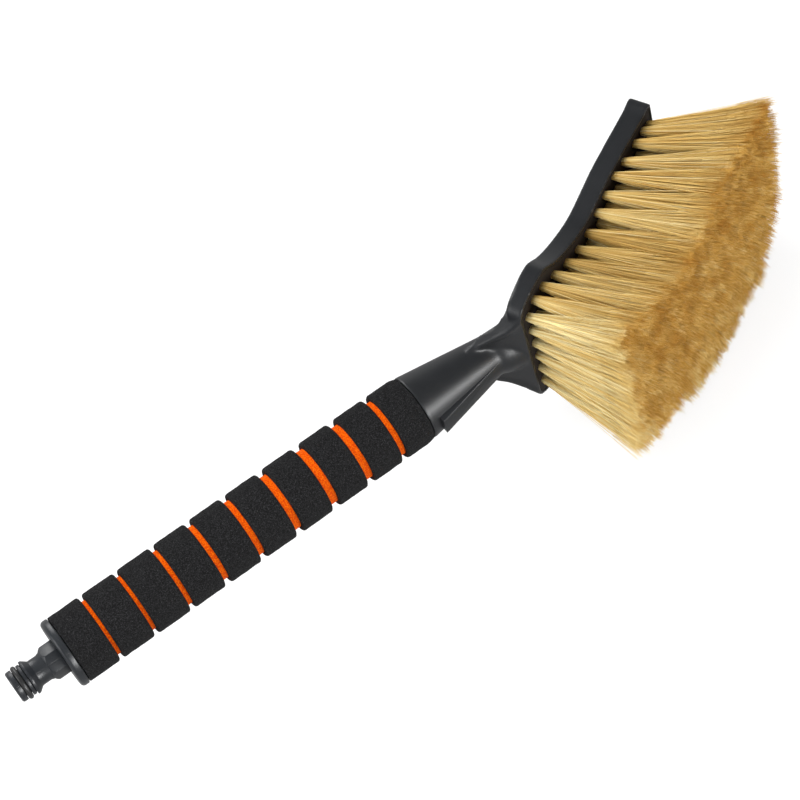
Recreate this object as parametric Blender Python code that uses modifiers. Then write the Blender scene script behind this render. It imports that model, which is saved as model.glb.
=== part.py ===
"""A water-fed wash brush, lying on its side.

A hose clicks onto the ribbed connector. The water runs through the foam-gripped handle tube
into the hollow head, and comes out between the rows of bristles.

X runs along the handle, from the connector to the head. Z goes across the brush. The bristles
point to -Y and a little to +X. Lengths are in metres, and the origin is under the middle of
the whole brush, at its lowest point.
"""

import math

import bmesh
import bpy
from mathutils import Matrix, Vector

# Fits that all the pieces share
seat_gap = 0.0003
cut_overrun = 0.001
merge_distance = 0.000001
turn_steps = 32

# Hose connector: one moulding with its ribs, nut, flange and threaded shank
water_bore_radius = 0.0042
tip_radius = 0.0079
tip_length = 0.0030
tip_chamfer = 0.0010
ring_groove_width = 0.0029
ring_groove_radius = 0.0062
collar_radius = 0.0079
collar_length = 0.0016
collar_slot_width = 0.0004
collar_slot_depth = 0.0005
ridge_radius = 0.00865
ridge_length = 0.0012
ridge_slope_length = 0.0026
waist_radius = 0.0066
waist_length = 0.0045
shoulder_length = 0.0016
shoulder_radius = 0.0074
nut_flat_width = 0.0152
nut_length = 0.0078
nut_chamfer = 0.0014
nut_sides = 6
nut_turn = math.radians(37.0)
flange_radius = 0.0176
flange_thickness = 0.0042
flange_rounding = 0.0018
shank_radius = 0.0070
shank_length = 0.0210

# Seal ring in the connector's groove
seal_section_radius = 0.0011
seal_section_steps = 10

# Handle tube, with the washer and the threaded bush in its end
tube_radius = 0.0110
tube_wall = 0.0015
washer_thickness = 0.0015
bush_length = 0.0190

# Grip: an orange foam sleeve with ten black foam rings on it
grip_length = 0.1952
sleeve_radius = 0.0146
ring_radius = 0.0174
ring_rounding = 0.0014
last_ring_taper_length = 0.0038
last_ring_taper = 0.0007
groove_place_shares = (0.0901, 0.1889, 0.2921, 0.3940, 0.4968, 0.6022, 0.7085, 0.8109, 0.9107)
groove_width_mean = 0.0033
groove_width_shares = (0.67, 0.70, 0.85, 1.00, 1.03, 1.24, 1.39, 1.30, 0.97)

# Head shell: socket cone, shoulders, rib and tray in one moulding
socket_mouth_radius = 0.0168
neck_radius = 0.0104
cone_length = 0.0450
ridge_run = 0.0480
ridge_shares = ((0.0, 1.0), (0.30, 0.95), (0.60, 0.86), (0.82, 0.66), (0.95, 0.36), (1.0, 0.0))
socket_depth = 0.0268
channel_radius = 0.0050
seal_disc_thickness = 0.0015
seal_disc_hole_radius = 0.0060

rib_half_width = 0.0050
rib_start = 0.0052
rib_start_height = 0.0186
rib_end_height = 0.0092
rib_end_sink = 0.0020

head_along = 0.0613
head_across = 0.0133
head_tilt = math.radians(25.67)
head_length = 0.1342
head_overhang = 0.0034
head_half_width = 0.0400
rim_setback = 0.0007
rim_thickness = 0.0018
tray_depth_near = 0.0095
tray_depth_far = 0.0117
tray_edge_rounding = 0.0008
tray_edge_steps = 3
head_outline_shares = (
    (0.000, 0.000), (0.000, 0.400), (0.000, 0.675), (0.001, 0.790), (0.012, 0.860),
    (0.038, 0.923), (0.075, 0.963), (0.120, 0.988), (0.161, 1.000), (0.195, 0.973),
    (0.242, 0.860), (0.282, 0.790), (0.331, 0.730), (0.380, 0.688), (0.432, 0.655),
    (0.477, 0.648), (0.523, 0.665), (0.590, 0.715), (0.666, 0.768), (0.741, 0.788),
    (0.816, 0.805), (0.929, 0.820), (0.971, 0.855), (0.991, 0.845), (0.999, 0.763),
    (1.000, 0.425), (1.000, 0.000),
)
outline_steps = 2

# Shoulders: a web from the cone's sides to the near corners of the tray, with a raised edge.
# Shares along run from the web's start to the tray's near wall, and heights are shares of the
# height that the tray's rim has there
web_start = 0.0343
web_edge_rise = 0.0009
web_edge_width = 0.0028
web_edge_back_rise = 0.0004
web_rim_drop = 0.0004
edge_rim_drop = 0.0001
web_plan_shares = (
    (0.000, 0.000), (0.146, 0.048), (0.312, 0.171), (0.470, 0.303), (0.610, 0.436),
    (0.731, 0.593), (0.843, 0.774), (0.916, 0.892), (1.000, 1.000),
)
web_end_place_share = 0.0083
web_end_reach_share = 0.830
web_back_shares = (
    (0.000, -0.184), (0.157, -0.184), (0.284, -0.163), (0.381, -0.092), (0.496, 0.007),
    (0.623, 0.106), (0.796, 0.199), (0.995, 0.241), (1.144, 0.184), (1.330, 0.106),
)
web_front_shares = (
    (0.102, -0.064), (0.229, 0.071), (0.398, 0.262), (0.568, 0.454), (0.737, 0.652),
    (0.885, 0.844), (1.000, 1.000),
)
edge_front_shares = (
    (0.000, -0.021), (0.154, 0.076), (0.329, 0.231), (0.494, 0.406), (0.645, 0.615),
    (0.770, 0.788), (0.887, 0.929), (1.000, 1.000),
)

# Flare that widens the neck towards the tray's near wall, on the bristle side only
flare_sink = 0.0010
flare_start_drop = 0.0005
flare_run = 0.0137
flare_end_radius = 0.0134
flare_shares = ((0.02, -0.01), (0.12, 0.38), (0.34, 0.72), (0.62, 0.93), (0.93, 1.08), (1.0, 1.0))
flare_low_height = 0.0020
flare_end_low_height = 0.0055

# Bristle block and tuft rows
slice_thickness = 0.0025
block_thickness = 0.0028
chamber_depth = 0.0020
chamber_steps = 14
ledge_width = 0.0046
pocket_cut_height = 0.0100
tufts_in_row = 6
tuft_radius = 0.0025
row_place_shares = (
    0.020, 0.077, 0.142, 0.215, 0.293, 0.375, 0.455, 0.533, 0.610, 0.689, 0.768, 0.848, 0.917,
    0.978,
)
row_reach_shares = (
    0.930, 1.000, 1.000, 0.980, 1.000, 1.000, 1.000, 1.000, 1.000, 1.000, 1.000, 1.000, 1.000,
    0.960,
)
outlet_rows = (3, 7, 11)
outlet_radius = 0.0019
outlet_sides = 12

bristle_length_near = 0.0580
bristle_length_far = 0.0612
tip_overhang_near = 0.0081
tip_overhang_far = 0.0132
tip_overhang_side = 0.0210
tip_reach_shares = (
    0.656, 0.754, 0.762, 0.738, 0.713, 0.689, 0.713, 0.762, 0.836, 0.902, 1.000, 1.000, 0.951,
    0.885,
)
strand_sides = 3
strand_root_radius = 0.00072
strand_tip_radius = 0.0019
strand_sink = 0.0010
strand_root_spread_share = 0.58
strand_tip_spread_share = 0.30
strand_pattern_shares = ((0.0, 0.0), (1.0, 1.0), (1.0, -1.0), (-1.0, 1.0), (-1.0, -1.0))

# Places along the handle, from the connector's tip
ring_groove_place = tip_length
collar_place = ring_groove_place + ring_groove_width
collar_slot_place = collar_place + collar_length
ridge_place = collar_slot_place + collar_slot_width
slope_place = ridge_place + ridge_length
waist_place = slope_place + ridge_slope_length
shoulder_place = waist_place + waist_length
nut_place = shoulder_place + shoulder_length
flange_place = nut_place + nut_length
flange_back = flange_place + flange_thickness
shank_end = flange_back + shank_length
washer_place = flange_back + seat_gap
tube_start = washer_place + washer_thickness + seat_gap
grip_start = flange_back + seat_gap
socket_mouth = grip_start + grip_length
grip_end = socket_mouth - seat_gap
socket_bottom = socket_mouth + socket_depth
seal_disc_place = socket_bottom - seat_gap - seal_disc_thickness
tube_end = seal_disc_place - seat_gap
neck_place = socket_mouth + cone_length

# Depths in the head, along the bristles from the face of the tuft rows
slice_back = -slice_thickness
block_front = slice_back - seat_gap
block_back = block_front - block_thickness
ledge_depth = block_back - seat_gap
chamber_floor = ledge_depth - chamber_depth

# Where the bristles' tips spread to, past the ends and sides of the tray
tip_start = -head_overhang - tip_overhang_near
tip_end = head_length - head_overhang + tip_overhang_far
tip_half_width = head_half_width + tip_overhang_side

# Bores in the handle
tube_bore_radius = tube_radius - tube_wall
sleeve_bore_radius = tube_radius + seat_gap


def new_material(name, colour, roughness):
    """A plain finish with no metal in it."""
    material = bpy.data.materials.new(name)
    material.use_nodes = True
    shader = material.node_tree.nodes["Principled BSDF"]
    shader.inputs["Base Color"].default_value = (*colour, 1.0)
    shader.inputs["Roughness"].default_value = roughness
    shader.inputs["Metallic"].default_value = 0.0
    return material


def new_object(name, mesh, collection, parent, material=None):
    """Links a mesh as an object under its parent."""
    piece = bpy.data.objects.new(name, mesh)
    collection.objects.link(piece)
    piece.parent = parent
    if material:
        mesh.materials.append(material)
    return piece


def turned_solid(name, outline, collection, parent, material=None, steps=turn_steps):
    """Turns an outline of (place along the handle, radius) points round the handle's axis.

    The outline runs down the outer side from the head end to the connector end. One that
    touches the axis at both ends makes a full solid, and a closed one makes a ring.
    """
    on_axis = outline[0][1] == 0.0
    points = [(radius, 0.0, along) for along, radius in outline]
    edges = [(i, i + 1) for i in range(len(points) - 1)]
    if not on_axis:
        edges.append((len(points) - 1, 0))
    mesh = bpy.data.meshes.new(name)
    mesh.from_pydata(points, edges, [])
    piece = new_object(name, mesh, collection, parent, material)
    piece.rotation_euler = (0.0, math.radians(90.0), 0.0)
    turn = piece.modifiers.new("turn", "SCREW")
    turn.axis = "Z"
    turn.steps = steps
    turn.render_steps = steps
    turn.use_merge_vertices = on_axis
    turn.merge_threshold = merge_distance
    turn.use_smooth_shade = True
    return piece


def flat_mesh(name, outline, low, high):
    """Fills a flat outline and gives it thickness, from low to high along its own Z."""
    curve = bpy.data.curves.new(name, "CURVE")
    curve.dimensions = "2D"
    curve.fill_mode = "BOTH"
    curve.extrude = (high - low) / 2
    spline = curve.splines.new("POLY")
    spline.points.add(len(outline) - 1)
    for point, (along, across) in zip(spline.points, outline):
        point.co = (along, across, 0.0, 1.0)
    spline.use_cyclic_u = True
    holder = bpy.data.objects.new(name, curve)
    bpy.context.scene.collection.objects.link(holder)
    depsgraph = bpy.context.evaluated_depsgraph_get()
    mesh = bpy.data.meshes.new_from_object(holder.evaluated_get(depsgraph))
    bpy.data.objects.remove(holder)
    bpy.data.curves.remove(curve)
    mesh.transform(Matrix.Translation((0.0, 0.0, (low + high) / 2)))
    shape = bmesh.new()
    shape.from_mesh(mesh)
    bmesh.ops.remove_doubles(shape, verts=shape.verts, dist=merge_distance)
    bmesh.ops.recalc_face_normals(shape, faces=shape.faces)
    shape.to_mesh(mesh)
    shape.free()
    return mesh


def box_mesh(name, low, high):
    """A box between two corners."""
    shape = bmesh.new()
    bmesh.ops.create_cube(shape, size=1.0)
    size = Vector(high) - Vector(low)
    middle = (Vector(high) + Vector(low)) / 2
    bmesh.ops.scale(shape, vec=size, verts=shape.verts)
    bmesh.ops.translate(shape, vec=middle, verts=shape.verts)
    mesh = bpy.data.meshes.new(name)
    shape.to_mesh(mesh)
    shape.free()
    return mesh


def combine(piece, tool, operation):
    """Adds a Boolean step to a piece."""
    step = piece.modifiers.new(operation.lower(), "BOOLEAN")
    step.operation = operation
    step.solver = "EXACT"
    step.object = tool


def mark_as_tool(tool):
    """Marks a shape that only cuts or fills out another one."""
    tool.hide_render = True
    tool.display_type = "WIRE"


def rounded(start, end, radius, rounding):
    """A bar's outer side with quarter-round ends, from its far end to its near end."""
    quarter = [math.radians(angle) for angle in (90.0, 45.0, 0.0)]
    far = [(end - rounding + rounding * math.sin(a), radius - rounding + rounding * math.cos(a))
           for a in quarter]
    near = [(start + rounding - rounding * math.sin(a), radius - rounding + rounding * math.cos(a))
            for a in reversed(quarter)]
    return far + near


def smooth_closed(points, steps):
    """A smooth closed outline through the points, with some steps to each stretch."""
    count = len(points)
    outline = []
    for i in range(count):
        p0, p1, p2, p3 = (Vector(points[(i + k) % count]) for k in (-1, 0, 1, 2))
        for step in range(steps):
            t = step / steps
            near_pull = (p2 - p0) / 2
            far_pull = (p3 - p1) / 2
            point = (p1 * (2 * t ** 3 - 3 * t ** 2 + 1) + near_pull * (t ** 3 - 2 * t ** 2 + t)
                     + p2 * (3 * t ** 2 - 2 * t ** 3) + far_pull * (t ** 3 - t ** 2))
            outline.append((point.x, point.y))
    return outline


def inset(outline, distance):
    """Moves each point of an anticlockwise outline inwards, square to the outline."""
    moved = []
    for i, (along, across) in enumerate(outline):
        before = Vector(outline[i - 1])
        after = Vector(outline[(i + 1) % len(outline)])
        run = (after - before).normalized()
        moved.append((along - run.y * distance, across + run.x * distance))
    return moved


def half_width_at(outline, along):
    """How far an outline reaches across at a place along it."""
    reach = 0.0
    for i, (start, low) in enumerate(outline):
        end, high = outline[(i + 1) % len(outline)]
        if min(start, end) <= along <= max(start, end) and start != end:
            reach = max(reach, low + (high - low) * (along - start) / (end - start))
    return reach


def head_outline():
    """The tray's outline, wide at both ends and drawn in at the waist."""
    side = [(share * head_length - head_overhang, -reach * head_half_width)
            for share, reach in head_outline_shares]
    other = [(along, -across) for along, across in reversed(side[1:-1])]
    return smooth_closed(side + other, outline_steps)


def side_point(along, depth):
    """A point of the head's frame at its mid plane, as X and Y of the brush."""
    x = socket_mouth + head_along + along * math.cos(head_tilt) + depth * math.sin(head_tilt)
    y = -head_across + along * math.sin(head_tilt) - depth * math.cos(head_tilt)
    return x, y


def make_connector(pieces, tools, brush):
    """The hose connector, bored through, and the seal ring in its groove."""
    grey = new_material("connector_plastic", (0.040, 0.044, 0.050), 0.38)
    rubber = new_material("seal_rubber", (0.018, 0.018, 0.019), 0.45)
    slot_radius = collar_radius - collar_slot_depth
    flange_edge = rounded(flange_place, flange_back, flange_radius, flange_rounding)[3:]
    outline = [
        (shank_end, 0.0), (shank_end, shank_radius), (flange_back, shank_radius),
        (flange_back, flange_radius), *flange_edge, (flange_place, shoulder_radius),
        (nut_place, shoulder_radius), (shoulder_place, waist_radius),
        (waist_place, waist_radius), (slope_place, ridge_radius),
        (ridge_place, ridge_radius), (ridge_place, slot_radius),
        (collar_slot_place, slot_radius), (collar_slot_place, collar_radius),
        (collar_place, collar_radius), (collar_place, ring_groove_radius),
        (ring_groove_place, ring_groove_radius), (ring_groove_place, tip_radius),
        (tip_chamfer, tip_radius), (0.0, tip_radius - tip_chamfer), (0.0, 0.0),
    ]
    connector = turned_solid("hose_nipple", outline, pieces, brush, grey)

    nut_corner_radius = nut_flat_width / 2 / math.cos(math.pi / nut_sides)
    shape = bmesh.new()
    bmesh.ops.create_cone(
        shape, cap_ends=True, segments=nut_sides, radius1=nut_corner_radius,
        radius2=nut_corner_radius, depth=nut_length + cut_overrun)
    bmesh.ops.rotate(shape, matrix=Matrix.Rotation(nut_turn, 3, "Z"), verts=shape.verts)
    middle = nut_place + (nut_length + cut_overrun) / 2
    bmesh.ops.translate(shape, vec=(0.0, 0.0, middle), verts=shape.verts)
    nut_mesh = bpy.data.meshes.new("nut_body")
    shape.to_mesh(nut_mesh)
    shape.free()
    nut = new_object("nut_body", nut_mesh, tools, brush)
    nut.rotation_euler = (0.0, math.radians(90.0), 0.0)
    mark_as_tool(nut)
    chamfer_outline = [
        (flange_back, 0.0), (flange_back, nut_corner_radius),
        (nut_place + nut_chamfer, nut_corner_radius),
        (nut_place, nut_corner_radius - nut_chamfer), (nut_place, 0.0),
    ]
    nut_chamfers = turned_solid("nut_chamfers", chamfer_outline, tools, brush)
    mark_as_tool(nut_chamfers)
    combine(nut, nut_chamfers, "INTERSECT")
    combine(connector, nut, "UNION")

    bore_outline = [
        (shank_end + cut_overrun, 0.0), (shank_end + cut_overrun, water_bore_radius),
        (-cut_overrun, water_bore_radius), (-cut_overrun, 0.0),
    ]
    bore = turned_solid("water_bore", bore_outline, tools, brush)
    mark_as_tool(bore)
    combine(connector, bore, "DIFFERENCE")

    seal_place = ring_groove_place + ring_groove_width / 2
    seal_radius = ring_groove_radius + seat_gap + seal_section_radius
    section = [
        (seal_place + seal_section_radius * math.cos(angle),
         seal_radius + seal_section_radius * math.sin(angle))
        for angle in (math.tau * i / seal_section_steps for i in range(seal_section_steps))
    ]
    turned_solid("nipple_o_ring", section, pieces, brush, rubber)


def ring_outline(start, end, outer, inner):
    """A plain ring's outline."""
    return [(end, outer), (start, outer), (start, inner), (end, inner)]


def make_handle(pieces, brush):
    """The tube with its washer, bush and seal, and the foam grip round it."""
    rubber = new_material("washer_rubber", (0.020, 0.020, 0.020), 0.60)
    white = new_material("bush_plastic", (0.35, 0.35, 0.34), 0.45)
    tube_finish = new_material("tube_plastic", (0.055, 0.057, 0.060), 0.40)
    orange = new_material("orange_foam", (0.85, 0.11, 0.003), 0.90)
    black = new_material("black_foam", (0.012, 0.012, 0.013), 0.95)
    shank_clearance_radius = shank_radius + seat_gap

    washer = ring_outline(
        washer_place, washer_place + washer_thickness, tube_radius, shank_clearance_radius)
    turned_solid("cap_washer", washer, pieces, brush, rubber)
    bush = ring_outline(
        tube_start, tube_start + bush_length, tube_bore_radius - seat_gap,
        shank_clearance_radius)
    turned_solid("tube_bush", bush, pieces, brush, white)
    tube = ring_outline(tube_start, tube_end, tube_radius, tube_bore_radius)
    turned_solid("handle_tube", tube, pieces, brush, tube_finish)
    disc = ring_outline(
        seal_disc_place, seal_disc_place + seal_disc_thickness, tube_radius,
        seal_disc_hole_radius)
    turned_solid("tube_seal_ring", disc, pieces, brush, rubber)
    sleeve = ring_outline(grip_start, grip_end, sleeve_radius, sleeve_bore_radius)
    turned_solid("grip_sleeve", sleeve, pieces, brush, orange)

    starts = [grip_start]
    ends = []
    for place, width in zip(groove_place_shares, groove_width_shares):
        middle = grip_start + place * grip_length
        half = groove_width_mean * width / 2
        ends.append(middle - half)
        starts.append(middle + half)
    ends.append(grip_end)
    bore = sleeve_radius + seat_gap
    for number, (start, end) in enumerate(zip(starts, ends), start=1):
        side = rounded(start, end, ring_radius, ring_rounding)
        if number == len(starts):
            taper_start = (end - last_ring_taper_length, ring_radius)
            side = [(end, ring_radius - last_ring_taper), taper_start, *side[3:]]
        outline = [*side, (start, bore), (end, bore)]
        turned_solid(f"grip_ring_{number:02d}", outline, pieces, brush, black)


def cone_radius_at(x):
    """The socket cone's radius at a place along the handle."""
    slope = (neck_radius - socket_mouth_radius) / cone_length
    return socket_mouth_radius + slope * (x - socket_mouth)


def side_solid(name, points, half_width, tools, brush):
    """A solid of one side outline, given as (X, height towards the bristles), right across."""
    outline = [(x, -height) for x, height in points]
    solid = new_object(name, flat_mesh(name, outline, -half_width, half_width), tools, brush)
    mark_as_tool(solid)
    return solid


def plan_solid(name, points, low, high, tools, brush):
    """A solid of one plan outline, given as (X, Z), from low to high towards the bristles."""
    solid = new_object(name, flat_mesh(name, points, low, high), tools, brush)
    solid.rotation_euler = (math.radians(90.0), 0.0, 0.0)
    mark_as_tool(solid)
    return solid


def web_side_outline(start_x, front_shares, back_rise, rim_drop):
    """A shoulder's side outline: its back, its end inside the tray, and its front."""
    rim_x, rim_y = side_point(-head_overhang, -rim_setback - rim_drop)
    inner_x, inner_y = side_point(rim_thickness / 2 - head_overhang, -rim_setback - rim_drop)
    run = rim_x - start_x
    back = [(start_x + along * run, rise * -rim_y - back_rise) for along, rise in web_back_shares]
    front = [(start_x + along * run, rise * -rim_y) for along, rise in front_shares]
    return [*back, (inner_x, -inner_y), *reversed(front)]


def make_web(tools, brush):
    """The shoulders: a web with a sloping front, and a raised edge on each side of it."""
    start_x = socket_mouth + web_start
    web_side = web_side_outline(start_x, web_front_shares, 0.0, web_rim_drop)
    edge_side = web_side_outline(start_x, edge_front_shares, web_edge_back_rise, edge_rim_drop)
    low = min(height for _, height in edge_side) - cut_overrun
    high = max(height for _, height in edge_side) + cut_overrun

    end_x, _ = side_point(web_end_place_share * head_length - head_overhang, 0.0)
    start_reach = cone_radius_at(start_x) + web_edge_rise
    end_reach = web_end_reach_share * head_half_width
    edge = [(start_x + along * (end_x - start_x), start_reach + across * (end_reach - start_reach))
            for along, across in web_plan_shares]
    far_x = max(x for x, _ in web_side) + cut_overrun
    half = [(x, z - web_edge_width / 2) for x, z in edge]
    half.append((far_x, half[-1][1]))
    plan = [(x, -z) for x, z in half] + [(x, z) for x, z in reversed(half)]
    web = side_solid("web_side", web_side, head_half_width, tools, brush)
    combine(web, plan_solid("web_plan", plan, low, high, tools, brush), "INTERSECT")

    solids = [web]
    for name, side in (("upper", 1.0), ("lower", -1.0)):
        inner_edge = [(x, z - web_edge_width) for x, z in reversed(edge)]
        strip = [(x, side * z) for x, z in edge + inner_edge]
        solid = side_solid(f"{name}_edge_side", edge_side, head_half_width, tools, brush)
        strip_solid = plan_solid(f"{name}_edge_plan", strip, low, high, tools, brush)
        combine(solid, strip_solid, "INTERSECT")
        solids.append(solid)
    return solids


def make_rib(tools, brush):
    """The flat-topped rib under the cone, and the shape that trims its top."""
    start_x = socket_mouth + rib_start
    slope = (rib_end_height - rib_start_height) / (neck_place - start_x)
    end_x = neck_place + rib_end_sink
    end_height = rib_end_height + slope * rib_end_sink
    body = [(start_x, tube_radius), (start_x, rib_start_height + cut_overrun),
            (end_x, end_height + cut_overrun), (end_x, 0.0)]
    rib = side_solid("rib_body", body, rib_half_width, tools, brush)
    low_x = start_x - cut_overrun
    low = rib_start_height - slope * cut_overrun
    high = rib_start_height + cut_overrun + cut_overrun
    trim = [(low_x, low), (neck_place, rib_end_height), (neck_place, high), (low_x, high)]
    top = side_solid("rib_top", trim, rib_half_width + cut_overrun, tools, brush)
    return rib, top


def make_flare(tools, brush):
    """The flare that runs from the neck to the tray's near wall."""
    start_x = neck_place - flare_sink
    end_x = neck_place + flare_run
    rise = flare_end_radius - neck_radius
    outline = [(neck_place + along * flare_run, neck_radius + up * rise)
               for along, up in reversed(flare_shares)]
    outline = [(end_x, 0.0), *outline, (start_x, neck_radius - flare_start_drop), (start_x, 0.0)]
    flare = turned_solid("neck_flare", outline, tools, brush)
    mark_as_tool(flare)
    top = flare_end_radius + rise
    side = [(start_x - cut_overrun, flare_low_height), (start_x - cut_overrun, top),
            (end_x + cut_overrun, top), (end_x + cut_overrun, flare_end_low_height)]
    limit = side_solid("flare_side", side, flare_end_radius + rise, tools, brush)
    combine(flare, limit, "INTERSECT")
    return flare


def tray_solid(outline, tools, head):
    """The tray's outer form: its back slopes, and the edge round the back is rounded."""
    mesh = flat_mesh("tray_body", outline, -tray_depth_far, -rim_setback)
    shape = bmesh.new()
    shape.from_mesh(mesh)
    back_faces = [face for face in shape.faces
                  if all(vert.co.z < -tray_depth_near for vert in face.verts)]
    back = bmesh.ops.dissolve_faces(shape, faces=back_faces)["region"][0]
    for vert in back.verts:
        share = (vert.co.x + head_overhang) / head_length
        vert.co.z = -(tray_depth_near + share * (tray_depth_far - tray_depth_near))
    shape.normal_update()
    bmesh.ops.bevel(shape, geom=list(back.edges), offset=tray_edge_rounding,
                    segments=tray_edge_steps, profile=0.5, affect="EDGES")
    shape.to_mesh(mesh)
    shape.free()
    tray = new_object("tray_body", mesh, tools, head)
    mark_as_tool(tray)
    return tray


def chamber_outline(outline):
    """The water chamber's outline, a ledge's width inside the pocket's wall."""
    margin = rim_thickness + ledge_width
    near = margin - head_overhang
    far = head_length - head_overhang - margin
    places = [near + (far - near) * step / chamber_steps for step in range(chamber_steps + 1)]
    side = [(place, half_width_at(outline, place) - margin) for place in places]
    return [(u, -v) for u, v in side] + [(u, v) for u, v in reversed(side)]


def make_shell(pieces, tools, brush, head):
    """The socket, shoulders, rib and tray, with the pocket and the waterway cut out."""
    plastic = new_material("shell_plastic", (0.030, 0.034, 0.039), 0.42)
    outline = head_outline()
    ridge = [(neck_place + along * ridge_run, radius * neck_radius)
             for along, radius in reversed(ridge_shares)]
    cone = [*ridge, (socket_mouth, socket_mouth_radius), (socket_mouth, 0.0)]
    shell = turned_solid("head_shell", cone, pieces, brush, plastic)
    combine(shell, tray_solid(outline, tools, head), "UNION")
    for solid in [*make_web(tools, brush), make_flare(tools, brush)]:
        combine(shell, solid, "UNION")
    rib, rib_top = make_rib(tools, brush)
    combine(shell, rib, "UNION")
    combine(shell, rib_top, "DIFFERENCE")

    pocket_mesh = flat_mesh("block_pocket", inset(outline, rim_thickness), ledge_depth,
                            pocket_cut_height)
    chamber_mesh = flat_mesh("water_chamber", chamber_outline(outline), chamber_floor, 0.0)
    socket = [(socket_bottom, 0.0), (socket_bottom, tube_radius + seat_gap),
              (socket_mouth - cut_overrun, tube_radius + seat_gap),
              (socket_mouth - cut_overrun, 0.0)]
    channel_end = socket_mouth + head_along + (
        head_across * math.cos(head_tilt) + block_back) / math.sin(head_tilt)
    channel = [(channel_end, 0.0), (channel_end, channel_radius),
               (socket_mouth, channel_radius), (socket_mouth, 0.0)]
    for cutter in (
        new_object("block_pocket", pocket_mesh, tools, head),
        new_object("water_chamber", chamber_mesh, tools, head),
        turned_solid("tube_socket", socket, tools, brush),
        turned_solid("water_channel", channel, tools, brush),
    ):
        mark_as_tool(cutter)
        combine(shell, cutter, "DIFFERENCE")


def make_outlets(tools, head, places):
    """The holes that let the water out between the bristles."""
    shape = bmesh.new()
    depth = cut_overrun - block_back + cut_overrun
    for place in places:
        hole = bmesh.ops.create_cone(
            shape, cap_ends=True, segments=outlet_sides, radius1=outlet_radius,
            radius2=outlet_radius, depth=depth)
        bmesh.ops.translate(shape, vec=(place, 0.0, cut_overrun - depth / 2), verts=hole["verts"])
    mesh = bpy.data.meshes.new("water_outlets")
    shape.to_mesh(mesh)
    shape.free()
    outlets = new_object("water_outlets", mesh, tools, head)
    mark_as_tool(outlets)
    return outlets


def tuft_strands(root_place, root_reach, tip_place, tip_reach, tip_pitch, length):
    """The strands of one row: each tuft starts narrow in its hole and fans out."""
    shape = bmesh.new()
    depth = length + strand_sink
    root_spread = strand_root_spread_share * tuft_radius
    tip_spread_along = strand_tip_spread_share * tip_pitch
    tip_pitch_across = 2 * tip_reach / (tufts_in_row - 1 + 2 * strand_tip_spread_share)
    tip_spread_across = strand_tip_spread_share * tip_pitch_across
    for tuft in range(tufts_in_row):
        side = 2 * tuft / (tufts_in_row - 1) - 1
        for along, across in strand_pattern_shares:
            root = Vector((root_place + along * root_spread,
                           side * root_reach + across * root_spread, 0.0))
            tip = Vector((tip_place + along * tip_spread_along,
                          side * (tip_reach - tip_spread_across) + across * tip_spread_across,
                          0.0))
            strand = bmesh.ops.create_cone(
                shape, cap_ends=True, segments=strand_sides, radius1=strand_root_radius,
                radius2=strand_tip_radius, depth=depth)["verts"]
            for vert in strand:
                vert.co += tip if vert.co.z > 0.0 else root
                vert.co.z += depth / 2 - strand_sink
    mesh = bpy.data.meshes.new("strands")
    shape.to_mesh(mesh)
    shape.free()
    return mesh


def make_bristles(pieces, tools, head):
    """The block in the tray's pocket, and the rows of tufts, each with its slice of backing."""
    block_finish = new_material("block_plastic", (0.022, 0.015, 0.010), 0.70)
    bristle = new_material("bristle", (0.62, 0.42, 0.18), 0.70)
    fit_outline = inset(head_outline(), rim_thickness + seat_gap)
    near = rim_thickness + seat_gap - head_overhang
    far = head_length - head_overhang - rim_thickness - seat_gap
    places = [near + share * (far - near) for share in row_place_shares]
    outlets = make_outlets(tools, head, [places[row - 1] for row in outlet_rows])

    block_mesh = flat_mesh("bristle_block", fit_outline, block_back, block_front)
    block = new_object("bristle_block", block_mesh, pieces, head, block_finish)
    combine(block, outlets, "DIFFERENCE")

    splits = [(place + after) / 2 for place, after in zip(places, places[1:])]
    lows = [near - cut_overrun, *[split + seat_gap / 2 for split in splits]]
    highs = [*[split - seat_gap / 2 for split in splits], far + cut_overrun]
    last = len(places) - 1
    tip_pitch = (tip_end - tip_start) / (last + 2 * strand_tip_spread_share)
    first_tip = tip_start + strand_tip_spread_share * tip_pitch
    for row, (place, low, high) in enumerate(zip(places, lows, highs)):
        number = row + 1
        name = f"tuft_row_{number:02d}"
        backing_mesh = flat_mesh(name, fit_outline, slice_back, 0.0)
        backing = new_object(name, backing_mesh, pieces, head, bristle)
        strip_mesh = box_mesh(
            f"strip_{number:02d}", (low, -head_half_width, slice_back - cut_overrun),
            (high, head_half_width, cut_overrun))
        strip = new_object(f"strip_{number:02d}", strip_mesh, tools, head)
        mark_as_tool(strip)
        combine(backing, strip, "INTERSECT")
        reach = row_reach_shares[row] * (half_width_at(fit_outline, place) - tuft_radius)
        tip_reach = tip_reach_shares[row] * tip_half_width - strand_tip_radius
        length = bristle_length_near + row / last * (bristle_length_far - bristle_length_near)
        strands_mesh = tuft_strands(
            place, reach, first_tip + tip_pitch * row, tip_reach, tip_pitch, length)
        strands = new_object(f"strands_{number:02d}", strands_mesh, tools, head)
        mark_as_tool(strands)
        combine(backing, strands, "UNION")
        if number in outlet_rows:
            combine(backing, outlets, "DIFFERENCE")


def rest_on_origin(pieces, brush):
    """Moves the brush so that the origin is under its middle, at its lowest point."""
    bpy.context.view_layer.update()
    depsgraph = bpy.context.evaluated_depsgraph_get()
    corners = []
    for piece in pieces.objects:
        evaluated = piece.evaluated_get(depsgraph)
        mesh = evaluated.to_mesh()
        corners.extend(piece.matrix_world @ vert.co for vert in mesh.vertices)
        evaluated.to_mesh_clear()
    low = [min(corner[axis] for corner in corners) for axis in range(3)]
    high = [max(corner[axis] for corner in corners) for axis in range(3)]
    brush.location = (-(low[0] + high[0]) / 2, -(low[1] + high[1]) / 2, -low[2])
    bpy.context.view_layer.update()


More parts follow.
